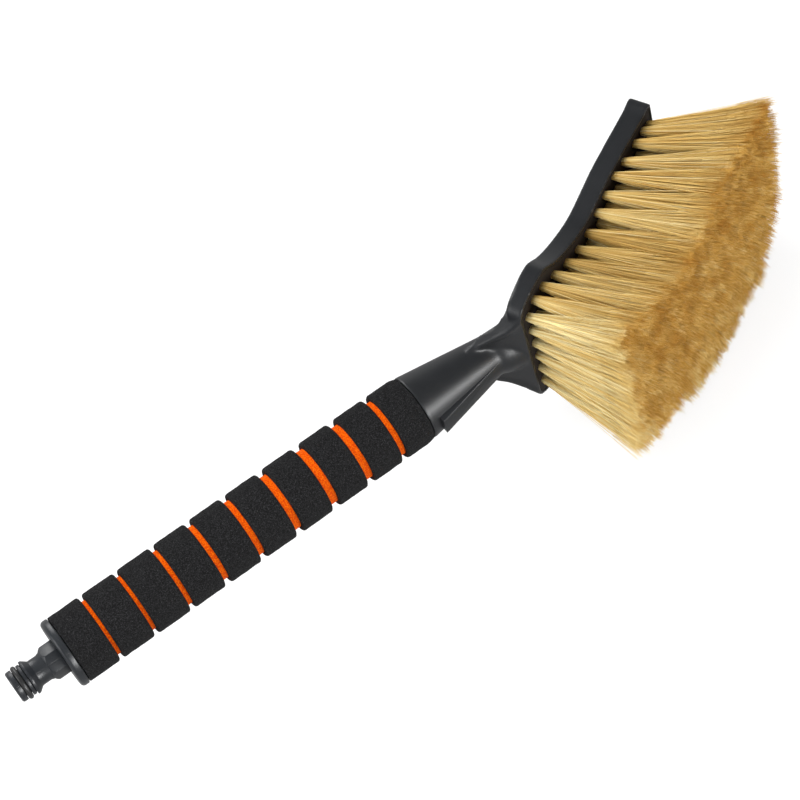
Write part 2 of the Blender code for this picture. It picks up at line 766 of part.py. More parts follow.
def make_brush():
    """Clears the scene and builds the whole brush."""
    for old in list(bpy.data.objects):
        bpy.data.objects.remove(old)
    pieces = bpy.data.collections.new("wash_brush")
    tools = bpy.data.collections.new("shaping_tools")
    bpy.context.scene.collection.children.link(pieces)
    bpy.context.scene.collection.children.link(tools)
    brush = bpy.data.objects.new("brush_frame", None)
    bpy.context.scene.collection.objects.link(brush)
    head = bpy.data.objects.new("head_frame", None)
    bpy.context.scene.collection.objects.link(head)
    head.parent = brush
    head_x, head_y = side_point(0.0, 0.0)
    head.location = (head_x, head_y, 0.0)
    head.rotation_euler = (math.radians(90.0), 0.0, head_tilt)

    make_connector(pieces, tools, brush)
    make_handle(pieces, brush)
    make_shell(pieces, tools, brush, head)
    make_bristles(pieces, tools, head)
    rest_on_origin(pieces, brush)


make_brush()
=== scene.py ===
"""A water-fed wash brush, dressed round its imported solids.

The sections follow the brush as it is put together: the place it lies in, the hose connector,
the handle and its foam grip, the head's shell, the bristle block, and the rows of bristles.
"""

import math

import bmesh
import bpy
import numpy as np
from mathutils import Matrix, Vector, geometry, noise


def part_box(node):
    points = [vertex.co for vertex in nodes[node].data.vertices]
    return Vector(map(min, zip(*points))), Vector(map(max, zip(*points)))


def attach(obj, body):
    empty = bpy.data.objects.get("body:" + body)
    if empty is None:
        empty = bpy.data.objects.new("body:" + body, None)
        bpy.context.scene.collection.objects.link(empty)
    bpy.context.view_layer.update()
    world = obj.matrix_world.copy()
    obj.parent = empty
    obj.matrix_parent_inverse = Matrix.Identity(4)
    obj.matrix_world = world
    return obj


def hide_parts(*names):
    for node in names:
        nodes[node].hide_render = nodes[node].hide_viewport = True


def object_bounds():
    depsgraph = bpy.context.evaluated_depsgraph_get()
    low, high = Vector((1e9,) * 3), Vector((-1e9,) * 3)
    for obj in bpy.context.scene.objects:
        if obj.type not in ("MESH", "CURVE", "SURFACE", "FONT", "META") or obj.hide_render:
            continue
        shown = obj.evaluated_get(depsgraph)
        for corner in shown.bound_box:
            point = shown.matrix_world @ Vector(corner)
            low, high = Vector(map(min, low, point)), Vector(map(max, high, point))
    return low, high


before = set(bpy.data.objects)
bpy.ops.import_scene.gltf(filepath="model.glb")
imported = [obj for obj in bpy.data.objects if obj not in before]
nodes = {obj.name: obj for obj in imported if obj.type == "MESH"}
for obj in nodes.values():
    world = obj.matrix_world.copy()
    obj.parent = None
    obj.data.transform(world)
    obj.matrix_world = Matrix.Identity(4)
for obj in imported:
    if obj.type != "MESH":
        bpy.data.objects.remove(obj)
solid_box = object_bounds()

# The place: a pale floor under the brush, soft studio light, and the camera above the bristle
# side, at the photograph's angle. X runs along the handle from the connector's tip, height is
# counted towards the bristles (-Y), and across is Z.

connector_low, connector_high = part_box("hose_nipple")
axis_start = Vector((connector_low.x, (connector_low.y + connector_high.y) / 2,
                     (connector_low.z + connector_high.z) / 2))


def at(along, height=0.0, across=0.0):
    """A point of the brush, counted from the connector's tip."""
    return axis_start + Vector((along, -height, across))


view_right = Vector((0.80643, -0.56240, -0.18268))
view_up = Vector((0.56252, 0.63439, 0.53020))
view_back = Vector((-0.18229, -0.53034, 0.82796))
camera_place = at(along=-0.00682, height=0.65992, across=1.04333)
camera_data = bpy.data.cameras.new("photo_camera")
camera_data.lens = 120.64
camera_data.sensor_width = 36.0
camera_data.clip_start = 0.05
camera_data.clip_end = 20.0
camera = bpy.data.objects.new("photo_camera", camera_data)
camera.matrix_world = Matrix.Translation(camera_place) @ Matrix((
    view_right, view_up, view_back)).transposed().to_4x4()
bpy.context.scene.collection.objects.link(camera)
bpy.context.scene.camera = camera
bpy.context.scene.view_settings.view_transform = "Standard"

# Each soft light faces a place on the handle's axis from an offset to it. The overhead and left
# bounces leave no spot in the gloss. The low front light models the lower flanks, and a strip
# under it shows only in the gloss, as the bright line along the cone. A small card behind the
# hose connector lights the upper sides of its waist, its hexagon and its flange.
for name, aim, offset, width, height, power, in_gloss, on_matt in (
        ("overhead_bounce", 0.25, (-0.30, 0.28, 1.20), 1.00, 1.00, 11.8, False, True),
        ("low_front_softbox", 0.25, (0.20, -1.05, 0.46), 1.10, 0.26, 6.5, True, True),
        ("gloss_strip", 0.25, (0.20, -1.05, 0.30), 1.00, 0.24, 11.5, True, False),
        ("left_softbox", 0.25, (-1.10, 0.20, 0.45), 0.50, 0.60, 2.6, True, True),
        ("left_bounce", 0.25, (-1.10, -0.25, 0.50), 0.80, 0.80, 5.5, False, True),
        ("connector_card", 0.02, (0.09, 0.44, 0.24), 0.20, 0.36, 1.0, True, True)):
    lamp = bpy.data.lights.new(name, "AREA")
    lamp.shape = "RECTANGLE"
    lamp.size = width
    lamp.size_y = height
    lamp.energy = power
    softbox = bpy.data.objects.new(name, lamp)
    softbox.location = at(aim) + Vector(offset)
    softbox.rotation_euler = (-Vector(offset)).to_track_quat("-Z", "Y").to_euler()
    softbox.visible_glossy = in_gloss
    softbox.visible_diffuse = on_matt
    bpy.context.scene.collection.objects.link(softbox)


class Wire:
    """A socket of a material's nodes, so that sums on its value are written as plain sums."""

    def __init__(self, finish, socket):
        self.finish = finish
        self.socket = socket

    def math(self, operation, first, second):
        """Adds one Math node."""
        return self.finish.node("ShaderNodeMath", {"operation": operation}, {0: first, 1: second})

    def __add__(self, other):
        return self.math("ADD", self, other)

    def __sub__(self, other):
        return self.math("SUBTRACT", self, other)

    def __rsub__(self, other):
        return self.math("SUBTRACT", other, self)

    def __mul__(self, other):
        return self.math("MULTIPLY", self, other)

    __radd__ = __add__
    __rmul__ = __mul__


class Finish:
    """The nodes of one material or of the world."""

    def __init__(self, name, owner=None):
        self.owner = owner or bpy.data.materials.new(name)
        self.owner.use_nodes = True
        self.tree = self.owner.node_tree
        self.tree.nodes.clear()

    def node(self, kind, settings=None, sockets=None, output=0):
        """Adds a node: its settings first, then the values or links of its sockets."""
        node = self.tree.nodes.new(kind)
        for name, value in (settings or {}).items():
            if name == "stops":
                ramp = node.color_ramp
                while len(ramp.elements) < len(value):
                    ramp.elements.new(1.0)
                for element, (place, colour) in zip(ramp.elements, value):
                    element.position = place
                    element.color = (*colour, 1.0)
            else:
                setattr(node, name, value)
        for name, value in (sockets or {}).items():
            if isinstance(value, Wire):
                self.tree.links.new(value.socket, node.inputs[name])
            elif node.inputs[name].type == "RGBA":
                node.inputs[name].default_value = (*value, 1.0)
            else:
                node.inputs[name].default_value = value
        return Wire(self, node.outputs[output])

    def place(self):
        """The point of the piece, in metres."""
        return self.node("ShaderNodeTexCoord", output="Object")

    def mix(self, factor, first, second):
        """A mix of two colours, whose sockets are numbers 6 and 7 of the node."""
        return self.node("ShaderNodeMix", {"data_type": "RGBA"},
                         {0: factor, 6: first, 7: second}, output=2)

    def speckle(self, place, size, detail=2.0, roughness=0.5):
        """A noise whose blots are about as wide as size, from 0 to 1."""
        return self.node("ShaderNodeTexNoise", sockets={
            "Vector": place, "Scale": 1.0 / size, "Detail": detail, "Roughness": roughness})

    def band(self, value, low, high):
        """0 under low, 1 over high, and smooth between them."""
        return self.node("ShaderNodeMapRange", {"interpolation_type": "SMOOTHSTEP"}, {
            "Value": value, "From Min": low, "From Max": high})

    def bump(self, strength, distance, height):
        """The relief of a surface, as deep as the distance where the height is 1."""
        return self.node("ShaderNodeBump", sockets={
            "Strength": strength, "Distance": distance, "Height": height})

    def finish(self, shader, kind="ShaderNodeOutputMaterial"):
        """Sends the shader to the output, and gives back the material."""
        output = self.tree.nodes.new(kind)
        self.tree.links.new(shader.socket, output.inputs["Surface"])
        return self.owner

    def solid(self, sockets):
        """Finishes a plastic, rubber or foam, and gives back the material."""
        return self.finish(self.node("ShaderNodeBsdfPrincipled", sockets=sockets))


def seen_directly(finish):
    """1 for what the camera, a gloss or a glass sees, and 0 for what lights other things."""
    rays = [finish.node("ShaderNodeLightPath", output=kind)
            for kind in ("Is Camera Ray", "Is Glossy Ray", "Is Transmission Ray")]
    return rays[0] + rays[1] + rays[2]


studio = Finish("studio", bpy.context.scene.world or bpy.data.worlds.new("studio"))
bpy.context.scene.world = studio.owner
is_gloss = studio.node("ShaderNodeLightPath", output="Is Glossy Ray")
room_light, white_wall, grey_wall, grey_ceiling = (
    studio.node("ShaderNodeBackground", sockets={"Color": colour, "Strength": strength})
    for colour, strength in (((0.97, 0.98, 1.0), 0.42), ((1.0, 1.0, 1.0), 1.0),
                             ((1.0, 1.0, 1.0), 0.75), ((0.96, 0.98, 1.0), 0.30)))
height_seen = studio.node("ShaderNodeSeparateXYZ", sockets={
    "Vector": studio.node("ShaderNodeTexCoord", output="Generated")}, output="Z")
reflected_room = studio.node("ShaderNodeMixShader", sockets={
    0: studio.band(height_seen, low=0.22, high=0.70), 1: grey_wall, 2: grey_ceiling})
backdrop = studio.node("ShaderNodeMixShader", sockets={
    0: is_gloss, 1: white_wall, 2: reflected_room})
studio.finish(studio.node("ShaderNodeMixShader", sockets={
    0: seen_directly(studio), 1: room_light, 2: backdrop}), "ShaderNodeOutputWorld")

floor_size = 12.0
floor_drop = 0.0005
bpy.ops.object.select_all(action="DESELECT")
bpy.ops.mesh.primitive_plane_add(size=floor_size, location=(0.0, 0.0, -floor_drop))
floor = bpy.context.object
floor.name = "studio_floor"
pale = Finish("pale_floor")
matt = pale.node("ShaderNodeBsdfDiffuse", sockets={"Color": (0.80, 0.80, 0.80)})
soft_shadow = pale.node("ShaderNodeBsdfDiffuse", sockets={"Color": (0.30, 0.30, 0.30)})
white_glow = pale.node("ShaderNodeEmission", sockets={
    "Color": (1.0, 1.0, 1.0), "Strength": 0.78})
glow_and_shadow = pale.node("ShaderNodeAddShader", sockets={0: soft_shadow, 1: white_glow})
grey_glow = pale.node("ShaderNodeEmission", sockets={"Color": (1.0, 1.0, 1.0), "Strength": 0.52})
floor_seen = pale.node("ShaderNodeMixShader", sockets={
    0: pale.node("ShaderNodeLightPath", output="Is Glossy Ray"), 1: glow_and_shadow,
    2: grey_glow})
floor.data.materials.append(pale.finish(pale.node("ShaderNodeMixShader", sockets={
    0: seen_directly(pale), 1: matt, 2: floor_seen})))

# Hose connector: one glass-filled nylon moulding that clicks into a garden-hose coupling. It is
# turned in section, with a moulded hexagon to tighten it by and a flange that caps the grip.
# The mould's parting line runs along it, through the middle of one of the hexagon's flats.

tip_length = 0.0030
tip_radius = 0.0079
tip_rounding = 0.0011
groove_radius = 0.0062
collar_place = 0.0059
collar_radius = 0.0079
slot_place = 0.0075
slot_radius = 0.0073
ridge_place = 0.0079
ridge_radius = 0.00865
slope_place = 0.0091
waist_place = 0.0117
waist_radius = 0.0066
nut_shoulder_place = 0.0162
nut_place = 0.0178
nut_neck_radius = 0.0072
nut_flat_width = 0.0152
nut_turn = math.radians(37.0)
flange_place = 0.0256
flange_back = 0.0298
flange_radius = 0.0176
flange_rounding = 0.0020
flange_back_rounding = 0.0007
flange_dish = 0.0005
shank_radius = 0.0070
shank_end = 0.0508
water_bore_radius = 0.0042
moulded_rounding = 0.00025
nut_overlap = 0.0004
nut_dome_line = ((-0.0002, 0.80), (0.0006, 0.90), (0.0016, 0.985), (0.0028, 1.02))
round_steps = 96
along_handle = (0.0, math.radians(90.0), 0.0)


def open_mesh():
    """Goes into the active object's mesh, with all of it selected."""
    bpy.ops.object.mode_set(mode="EDIT")
    bpy.ops.mesh.select_all(action="SELECT")


def close_mesh():
    """Turns all faces of the open mesh outwards, and leaves it."""
    bpy.ops.mesh.select_all(action="SELECT")
    bpy.ops.mesh.normals_make_consistent(inside=False)
    bpy.ops.object.mode_set(mode="OBJECT")


def select_only(piece):
    """Selects one object and makes it the active one."""
    bpy.ops.object.select_all(action="DESELECT")
    piece.select_set(True)
    bpy.context.view_layer.objects.active = piece


def apply_modifiers(piece):
    """Makes what the piece's modifiers do part of its mesh."""
    select_only(piece)
    for modifier in list(piece.modifiers):
        bpy.ops.object.modifier_apply(modifier=modifier.name)


def settle(piece):
    """Puts the piece's place into its mesh, closes its seams and turns its faces outwards."""
    select_only(piece)
    bpy.ops.object.transform_apply(location=True, rotation=True, scale=True)
    open_mesh()
    bpy.ops.mesh.remove_doubles(threshold=0.000001)
    bpy.ops.mesh.normals_make_consistent(inside=False)
    shape = bmesh.from_edit_mesh(piece.data)
    if shape.calc_volume(signed=True) < 0.0:
        bpy.ops.mesh.flip_normals()
    bpy.ops.object.mode_set(mode="OBJECT")


def turned(name, profile, steps, closed=True):
    """Turns a profile of (place, radius) points: a ring is extruded and sized from each to each.

    A closed profile comes back to its first point and makes a body with a bore. An open one
    makes a solid with two flat ends.
    """
    bpy.ops.object.select_all(action="DESELECT")
    start, first_radius = profile[0]
    bpy.ops.mesh.primitive_circle_add(
        vertices=steps, radius=first_radius, fill_type="NOTHING" if closed else "NGON",
        location=at(start), rotation=along_handle)
    piece = bpy.context.object
    piece.name = name
    piece.data.name = name
    bpy.ops.object.transform_apply(location=True, rotation=True, scale=True)
    open_mesh()
    points = profile[1:] + profile[:1] if closed else profile[1:]
    radius = first_radius
    for place, next_radius in points:
        bpy.ops.mesh.extrude_region_move(
            TRANSFORM_OT_translate={"value": (place - start, 0.0, 0.0)})
        size = next_radius / radius
        bpy.ops.transform.resize(value=(1.0, size, size), center_override=at(place))
        start = place
        radius = next_radius
    bpy.ops.object.mode_set(mode="OBJECT")
    settle(piece)
    return piece


def quarter(middle_place, middle_radius, rounding, start_angle, end_angle, steps):
    """Points of a rounded corner of a profile, between two angles in degrees."""
    return [(middle_place + rounding * math.cos(angle), middle_radius + rounding * math.sin(angle))
            for angle in (math.radians(start_angle + (end_angle - start_angle) * step / steps)
                          for step in range(steps + 1))]


def cut(piece, tool, operation="DIFFERENCE"):
    """Cuts, joins or trims a piece with a tool, which is used up."""
    step = piece.modifiers.new("cut", "BOOLEAN")
    step.operation = operation
    step.solver = "EXACT"
    step.object = tool
    apply_modifiers(piece)
    bpy.data.objects.remove(tool)


def ease_edges(piece, width, segments, angle=30.0):
    """Rounds the edges that a mould or a cutter leaves."""
    ease = piece.modifiers.new("ease", "BEVEL")
    ease.width = width
    ease.segments = segments
    ease.limit_method = "ANGLE"
    ease.angle_limit = math.radians(angle)
    ease.use_clamp_overlap = True
    apply_modifiers(piece)


def smooth_by_angle(piece, angle=32.0):
    """Shades the piece smooth, except across sharper edges."""
    select_only(piece)
    bpy.ops.object.shade_smooth_by_angle(angle=math.radians(angle))


connector_profile = [
    *quarter(tip_rounding, tip_radius - tip_rounding, tip_rounding, 180.0, 90.0, 4),
    (tip_length, tip_radius), (tip_length, groove_radius), (collar_place, groove_radius),
    (collar_place, collar_radius), (slot_place, collar_radius), (slot_place, slot_radius),
    (ridge_place, slot_radius), (ridge_place, ridge_radius), (slope_place, ridge_radius),
    (waist_place, waist_radius), (nut_shoulder_place, waist_radius),
    (nut_place, nut_neck_radius), (flange_place + flange_dish, nut_neck_radius),
    *quarter(flange_place + flange_rounding, flange_radius - flange_rounding, flange_rounding,
             180.0, 90.0, 6),
    *quarter(flange_back - flange_back_rounding, flange_radius - flange_back_rounding,
             flange_back_rounding, 90.0, 0.0, 4),
    (flange_back, shank_radius), (shank_end, shank_radius),
    (shank_end, water_bore_radius), (0.0, water_bore_radius),
]
connector = turned("connector", connector_profile, round_steps)
ease_edges(connector, moulded_rounding, 2)

nut_corner_radius = nut_flat_width / 2 / math.cos(math.radians(30.0))
bpy.ops.object.select_all(action="DESELECT")
bpy.ops.mesh.primitive_cylinder_add(
    vertices=6, radius=nut_corner_radius, depth=flange_place + nut_overlap - nut_place,
    location=at((flange_place + nut_overlap + nut_place) / 2), rotation=along_handle)
nut = bpy.context.object
open_mesh()
bpy.ops.transform.rotate(value=-nut_turn, orient_axis="X", center_override=nut.location)
bpy.ops.object.mode_set(mode="OBJECT")
settle(nut)
nut_end = flange_place + nut_overlap * 2
dome = [(nut_place + run, nut_corner_radius * share) for run, share in nut_dome_line]
dome.append((nut_end, dome[-1][1]))
cut(nut, turned("nut_dome", dome, round_steps, closed=False), "INTERSECT")
ease_edges(nut, moulded_rounding, 3, angle=25.0)
nut_bore_radius = nut_neck_radius - nut_overlap
cut(nut, turned("nut_bore", [(nut_place - nut_overlap, nut_bore_radius),
                             (nut_end, nut_bore_radius)], round_steps // 2, closed=False))
cut(connector, nut, "UNION")
smooth_by_angle(connector)
connector.name = "hose_connector"


def moulded_plastic(name, colour, sheen_colour, roughness, parting=None):
    """A satin moulding: fine spark-eroded grain, faint flow marks and, if asked, a parting line.

    The parting line lies where the piece meets a plane through the handle's axis, which
    stands square to the direction that is given.
    """
    finish = Finish(name)
    place = finish.place()
    flow = finish.speckle(place, size=0.012, detail=3.0, roughness=0.6)
    grain = finish.speckle(place, size=0.00035, detail=1.0)
    wear = finish.speckle(place, size=0.004, detail=4.0, roughness=0.7)
    scuff = finish.band(wear, low=0.58, high=0.72)
    base = finish.mix(flow, colour, sheen_colour)
    base = finish.mix(scuff * 0.18, base, sheen_colour)
    height = grain * 0.4 + flow * 0.6
    rough = flow * 0.10 + grain * 0.08 + (roughness - 0.09) + scuff * 0.05
    if parting is not None:
        offset = finish.node("ShaderNodeVectorMath", {"operation": "SUBTRACT"}, {
            0: place, 1: tuple(axis_start)})
        side = finish.node("ShaderNodeVectorMath", {"operation": "DOT_PRODUCT"}, {
            0: offset, 1: tuple(parting)}, output="Value")
        distance = finish.node("ShaderNodeMath", {"operation": "ABSOLUTE"}, {0: side})
        line = 1.0 - finish.band(distance, low=0.00004, high=0.00017)
        line_colour = (0.008, 0.008, 0.009)
        base = finish.mix(line * 0.55, base, line_colour)
        height = height - line * 2.2
    bump = finish.bump(strength=0.35, distance=0.00006, height=height)
    return finish.solid({"Base Color": base, "Roughness": rough, "Normal": bump, "IOR": 1.47})


parting_side = Vector((0.0, math.cos(nut_turn), math.sin(nut_turn)))
connector.data.materials.clear()
connector.data.materials.append(moulded_plastic(
    "connector_nylon", colour=(0.012, 0.0135, 0.016), sheen_colour=(0.019, 0.0215, 0.025),
    roughness=0.33, parting=parting_side))
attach(connector, "root")
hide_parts("hose_nipple")

# Seal ring: a moulded rubber ring that is stretched into the connector's groove, faintly greased.

seal_section = 0.00125
seal_radius = 0.00745
bpy.ops.object.select_all(action="DESELECT")
bpy.ops.mesh.primitive_torus_add(
    major_segments=round_steps, minor_segments=20, major_radius=seal_radius,
    minor_radius=seal_section, location=at((tip_length + collar_place) / 2),
    rotation=along_handle)
seal_ring = bpy.context.object
seal_ring.name = "seal_ring"
settle(seal_ring)
bpy.ops.object.shade_smooth()


def seal_rubber(name, colour, bloom_colour):
    """Moulded black rubber with a faint bloom."""
    finish = Finish(name)
    place = finish.place()
    bloom = finish.speckle(place, size=0.0025, detail=4.0, roughness=0.65)
    grain = finish.speckle(place, size=0.0002, detail=1.0)
    base = finish.mix(finish.band(bloom, low=0.40, high=0.75), colour, bloom_colour)
    bump = finish.bump(strength=0.3, distance=0.00004, height=grain + bloom)
    return finish.solid({"Base Color": base, "Roughness": bloom * 0.16 + 0.30, "Normal": bump,
                         "IOR": 1.50})


ring_rubber = seal_rubber("ring_rubber", (0.012, 0.012, 0.012), (0.0264, 0.0264, 0.0264))
seal_ring.data.materials.append(ring_rubber)
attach(seal_ring, "root")
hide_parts("nipple_o_ring")

# Inside the handle: an extruded plastic tube with a pressed-in threaded bush, and two flat
# rubber washers. None of them shows on the whole brush, so their solids stay as they are and
# only take their finishes.


def finish_nodes(finish, *names):
    """Gives solids of the frame their finish."""
    for name in names:
        piece = nodes[name]
        if not piece.material_slots:
            piece.data.materials.append(finish)
        for slot in piece.material_slots:
            slot.material = finish


finish_nodes(ring_rubber, "cap_washer", "tube_seal_ring")
finish_nodes(moulded_plastic("bush_nylon", (0.33, 0.33, 0.31), (0.40, 0.40, 0.38), 0.45),
             "tube_bush")
finish_nodes(moulded_plastic("tube_plastic", (0.050, 0.052, 0.056), (0.060, 0.062, 0.066), 0.40),
             "handle_tube")

# Grip sleeve: a tube of fine-celled orange foam that is slid over the handle tube. It shows
# only in the nine grooves between the black rings, where their edges press into it a little.

grip_start = 0.0301
grip_length = 0.1952
sleeve_radius = 0.0146
sleeve_bore = 0.0113
sleeve_setback = 0.0006
sleeve_steps = 120
foam_steps = 112
foam_skin = 0.001


def dent(piece, depth, size, seed):
    """Moves the points of a foam piece in and out a little, as its cut surface is uneven."""
    shift = Vector((seed, seed * 2.0, seed * 3.0))
    for point in piece.data.vertices:
        spread = Vector((0.0, point.co.y - axis_start.y, point.co.z - axis_start.z))
        if spread.length > sleeve_radius - foam_skin:
            lift = noise.noise(point.co / size + shift) * depth
            point.co += spread.normalized() * lift


def foam(name, colour, pit_shade_and_blot_colour, glint_colour, glint_share, gloss):
    """Closed-cell foam that was ground to size: painted shade in its tiny pits, darker random blots,
    and painted glints where cells catch the light.
    """
    finish = Finish(name)
    place = finish.place()
    cell_size = 0.00075
    cells = finish.node("ShaderNodeTexVoronoi", {"feature": "F1"}, {
        "Vector": place, "Scale": 1.0 / cell_size, "Randomness": 1.0}, output="Distance")
    fine = finish.speckle(place, size=0.00045, detail=2.0, roughness=0.75)
    blots = finish.speckle(place, size=0.0018, detail=3.0, roughness=0.6)
    # Painted shade: the pits between the cells, low in the bump, are painted darker.
    base = finish.mix(finish.band(cells, low=0.25, high=0.62), colour, pit_shade_and_blot_colour)
    # Painted glints: fine light flecks where cells catch the light.
    base = finish.mix(finish.band(fine, low=0.54, high=0.70) * glint_share, base, glint_colour)
    # Random darker blots, in the same colour as the pits' painted shade.
    base = finish.mix(finish.band(blots, low=0.45, high=0.75) * 0.30, base, pit_shade_and_blot_colour)
    bump = finish.bump(strength=0.8, distance=0.00028, height=cells * -0.8 + fine * 0.7)
    return finish.solid({"Base Color": base, "Roughness": fine * 0.14 + 0.84, "Normal": bump,
                         "Specular IOR Level": gloss})


sleeve_start = grip_start + sleeve_setback
sleeve_end = grip_start + grip_length - sleeve_setback
sleeve_profile = [(sleeve_start, sleeve_bore)]
sleeve_profile += [(sleeve_start + (sleeve_end - sleeve_start) * step / sleeve_steps,
                    sleeve_radius) for step in range(sleeve_steps + 1)]
sleeve_profile += [(sleeve_end, sleeve_bore)]
sleeve = turned("foam_sleeve", sleeve_profile, foam_steps)
dent(sleeve, depth=0.00022, size=0.0016, seed=1.7)
smooth_by_angle(sleeve, angle=50.0)
# The orange foam's darker pit colour is painted shade, and its lighter fleck colour is painted
# glints.
sleeve.data.materials.append(foam(
    "orange_foam", colour=(0.98, 0.160, 0.001), pit_shade_and_blot_colour=(0.78, 0.068, 0.001),
    glint_colour=(1.0, 0.29, 0.004), glint_share=0.7, gloss=0.08))
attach(sleeve, "root")
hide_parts("grip_sleeve")

# Grip rings: ten thick rings of black foam on the sleeve. They are cut from one ground tube,
# so their edges are rounded by hand and no two grooves are alike. The last one is eased down
# where it meets the head's socket.

ring_radius = 0.0174
ring_rounding = 0.0013
first_ring_rounding = 0.0004
ring_bore = 0.0149
groove_shares = (0.0901, 0.1889, 0.2921, 0.3940, 0.4968, 0.6022, 0.7085, 0.8109, 0.9107)
groove_width_shares = (0.62, 0.65, 0.80, 0.97, 1.02, 1.22, 1.36, 1.28, 0.98)
groove_width = 0.0030
last_ring_fall = 0.0008
last_ring_line = ((0.0038, 0.0), (0.0024, 0.25), (0.0010, 0.7), (0.0, 1.0))
socket_gap = 0.0002
ring_flat_steps = 12
ring_rounding_steps = 7

# The black foam's darker pit colour is painted shade, and its lighter fleck colour is painted
# glints.
black_foam = foam(
    "black_foam", colour=(0.0130, 0.0130, 0.0137), pit_shade_and_blot_colour=(0.0042, 0.0042, 0.0045),
    glint_colour=(0.066, 0.066, 0.069), glint_share=0.75, gloss=0.16)
ring_starts = [grip_start]
ring_ends = []
for share, width in zip(groove_shares, groove_width_shares):
    middle = grip_start + share * grip_length
    ring_ends.append(middle - groove_width * width / 2)
    ring_starts.append(middle + groove_width * width / 2)
ring_ends.append(grip_start + grip_length - socket_gap)
for number, (start, end) in enumerate(zip(ring_starts, ring_ends), start=1):
    near_rounding = first_ring_rounding if number == 1 else ring_rounding
    near = quarter(start + near_rounding, ring_radius - near_rounding, near_rounding,
                   180.0, 90.0, ring_rounding_steps)
    far = quarter(end - ring_rounding, ring_radius - ring_rounding, ring_rounding,
                  90.0, 0.0, ring_rounding_steps)
    if number == len(ring_starts):
        far = [(end - run, ring_radius - last_ring_fall * share) for run, share in last_ring_line]
    inner = [(near[-1][0] + (far[0][0] - near[-1][0]) * step / ring_flat_steps, ring_radius)
             for step in range(1, ring_flat_steps)]
    profile = [(start, ring_bore), *near, *inner, *far, (end, ring_bore)]
    ring = turned(f"foam_ring_{number:02d}", profile, foam_steps)
    dent(ring, depth=0.00016, size=0.0040, seed=number * 0.37)
    dent(ring, depth=0.00008, size=0.0009, seed=number * 0.91)
    smooth_by_angle(ring, angle=60.0)
    ring.data.materials.append(black_foam)
    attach(ring, "root")
    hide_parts(f"grip_ring_{number:02d}")

# Head shell: one hollow moulding in dark polypropylene. A socket cone takes the handle tube,
# a flat-topped rib stiffens it on the bristle side, and two shoulders with raised edges carry
# the S-sided tray. The mould was polished, so it is satin, with soft fillets at its roots.

socket_mouth = 0.2253
mouth_radius = 0.0168
neck_place = 0.2703
neck_radius = 0.0104
ridge_run = 0.0480
ridge_shares = ((0.0, 1.0), (0.30, 0.95), (0.60, 0.86), (0.82, 0.66), (0.95, 0.36), (1.0, 0.02))
socket_depth = 0.0268
tube_clear_radius = 0.0113
mouth_chamfer = 0.0005
cone_steps = 12
cone_sides = 128
cut_overrun = 0.0010

head_along = 0.0613
head_across = 0.0133
head_tilt = math.radians(25.67)
head_length = 0.1342
head_overhang = 0.0034
head_half_width = 0.0400
rim_setback = 0.0007
rim_thickness = 0.0018
back_margin = 0.001
tray_depth_near = 0.0095
tray_depth_far = 0.0117
tray_rounding = 0.0008
ledge_depth = 0.0059

# Half the tray's outline, as shares of the head's length and of its half width.
outline_shares = (
    (0.000, 0.000), (0.000, 0.400), (0.000, 0.675), (0.001, 0.790), (0.012, 0.860),
    (0.038, 0.923), (0.075, 0.963), (0.120, 0.988), (0.161, 1.000), (0.195, 0.973),
    (0.242, 0.860), (0.282, 0.790), (0.331, 0.730), (0.380, 0.688), (0.432, 0.655),
    (0.477, 0.648), (0.523, 0.665), (0.590, 0.715), (0.666, 0.768), (0.741, 0.788),
    (0.816, 0.805), (0.929, 0.820), (0.971, 0.855), (0.991, 0.845), (0.999, 0.763),
    (1.000, 0.425), (1.000, 0.000),
)
head_origin = at(socket_mouth + head_along, head_across)
head_u = Vector((math.cos(head_tilt), math.sin(head_tilt), 0.0))
head_v = Vector((0.0, 0.0, 1.0))
head_w = Vector((math.sin(head_tilt), -math.cos(head_tilt), 0.0))
head_place = Matrix.Translation(head_origin) @ Matrix((head_u, head_v, head_w)).transposed().to_4x4()
side_place = Matrix.Translation(axis_start)
plan_place = Matrix.Translation(axis_start) @ Matrix.Rotation(math.radians(90.0), 4, "X")


def smooth_line(points, steps, closed=False):
    """A smooth line through points, with some steps to each stretch."""
    ring = [points[-1], *points, *points[:2]] if closed else [points[0], *points, points[-1]]
    knots = [Vector(point) for point in ring]
    line = []
    for before, start, end, after in zip(knots, knots[1:], knots[2:], knots[3:]):
        start_pull = (end - before) / 2
        end_pull = (after - start) / 2
        for step in range(steps):
            t = step / steps
            point = (start * (2 * t ** 3 - 3 * t ** 2 + 1) + start_pull * (t ** 3 - 2 * t ** 2 + t)
                     + end * (3 * t ** 2 - 2 * t ** 3) + end_pull * (t ** 3 - t ** 2))
            line.append((point.x, point.y))
    if not closed:
        line.append(tuple(points[-1]))
    return line


def plate(name, outline, low, high, matrix):
    """A plate: a flat ring of points is set to an outline, filled and extruded."""
    bpy.ops.object.select_all(action="DESELECT")
    bpy.ops.mesh.primitive_circle_add(vertices=len(outline), radius=head_half_width,
                                      fill_type="NGON")
    piece = bpy.context.object
    piece.name = name
    for point, (along, across) in zip(piece.data.vertices, outline):
        point.co = (along, across, low)
    open_mesh()
    bpy.ops.mesh.extrude_region_move(TRANSFORM_OT_translate={"value": (0.0, 0.0, high - low)})
    close_mesh()
    piece.matrix_world = matrix
    return piece


def inset_line(outline, distance):
    """Moves each point of an anticlockwise outline inwards, square to the outline.

    Where a tight corner folds the line over itself, the small loop is cut off.
    """
    longest_fold = 12
    moved = []
    for i, (along, across) in enumerate(outline):
        run = (Vector(outline[(i + 1) % len(outline)]) - Vector(outline[i - 1])).normalized()
        moved.append((along - run.y * distance, across + run.x * distance))
    start = 0
    while start < len(moved) - 2:
        for end in range(min(start + longest_fold, len(moved) - 2), start + 1, -1):
            crossing = geometry.intersect_line_line_2d(
                moved[start], moved[start + 1], moved[end], moved[end + 1])
            if crossing is not None:
                moved[start + 1:end + 1] = [tuple(crossing)]
                break
        start += 1
    return moved


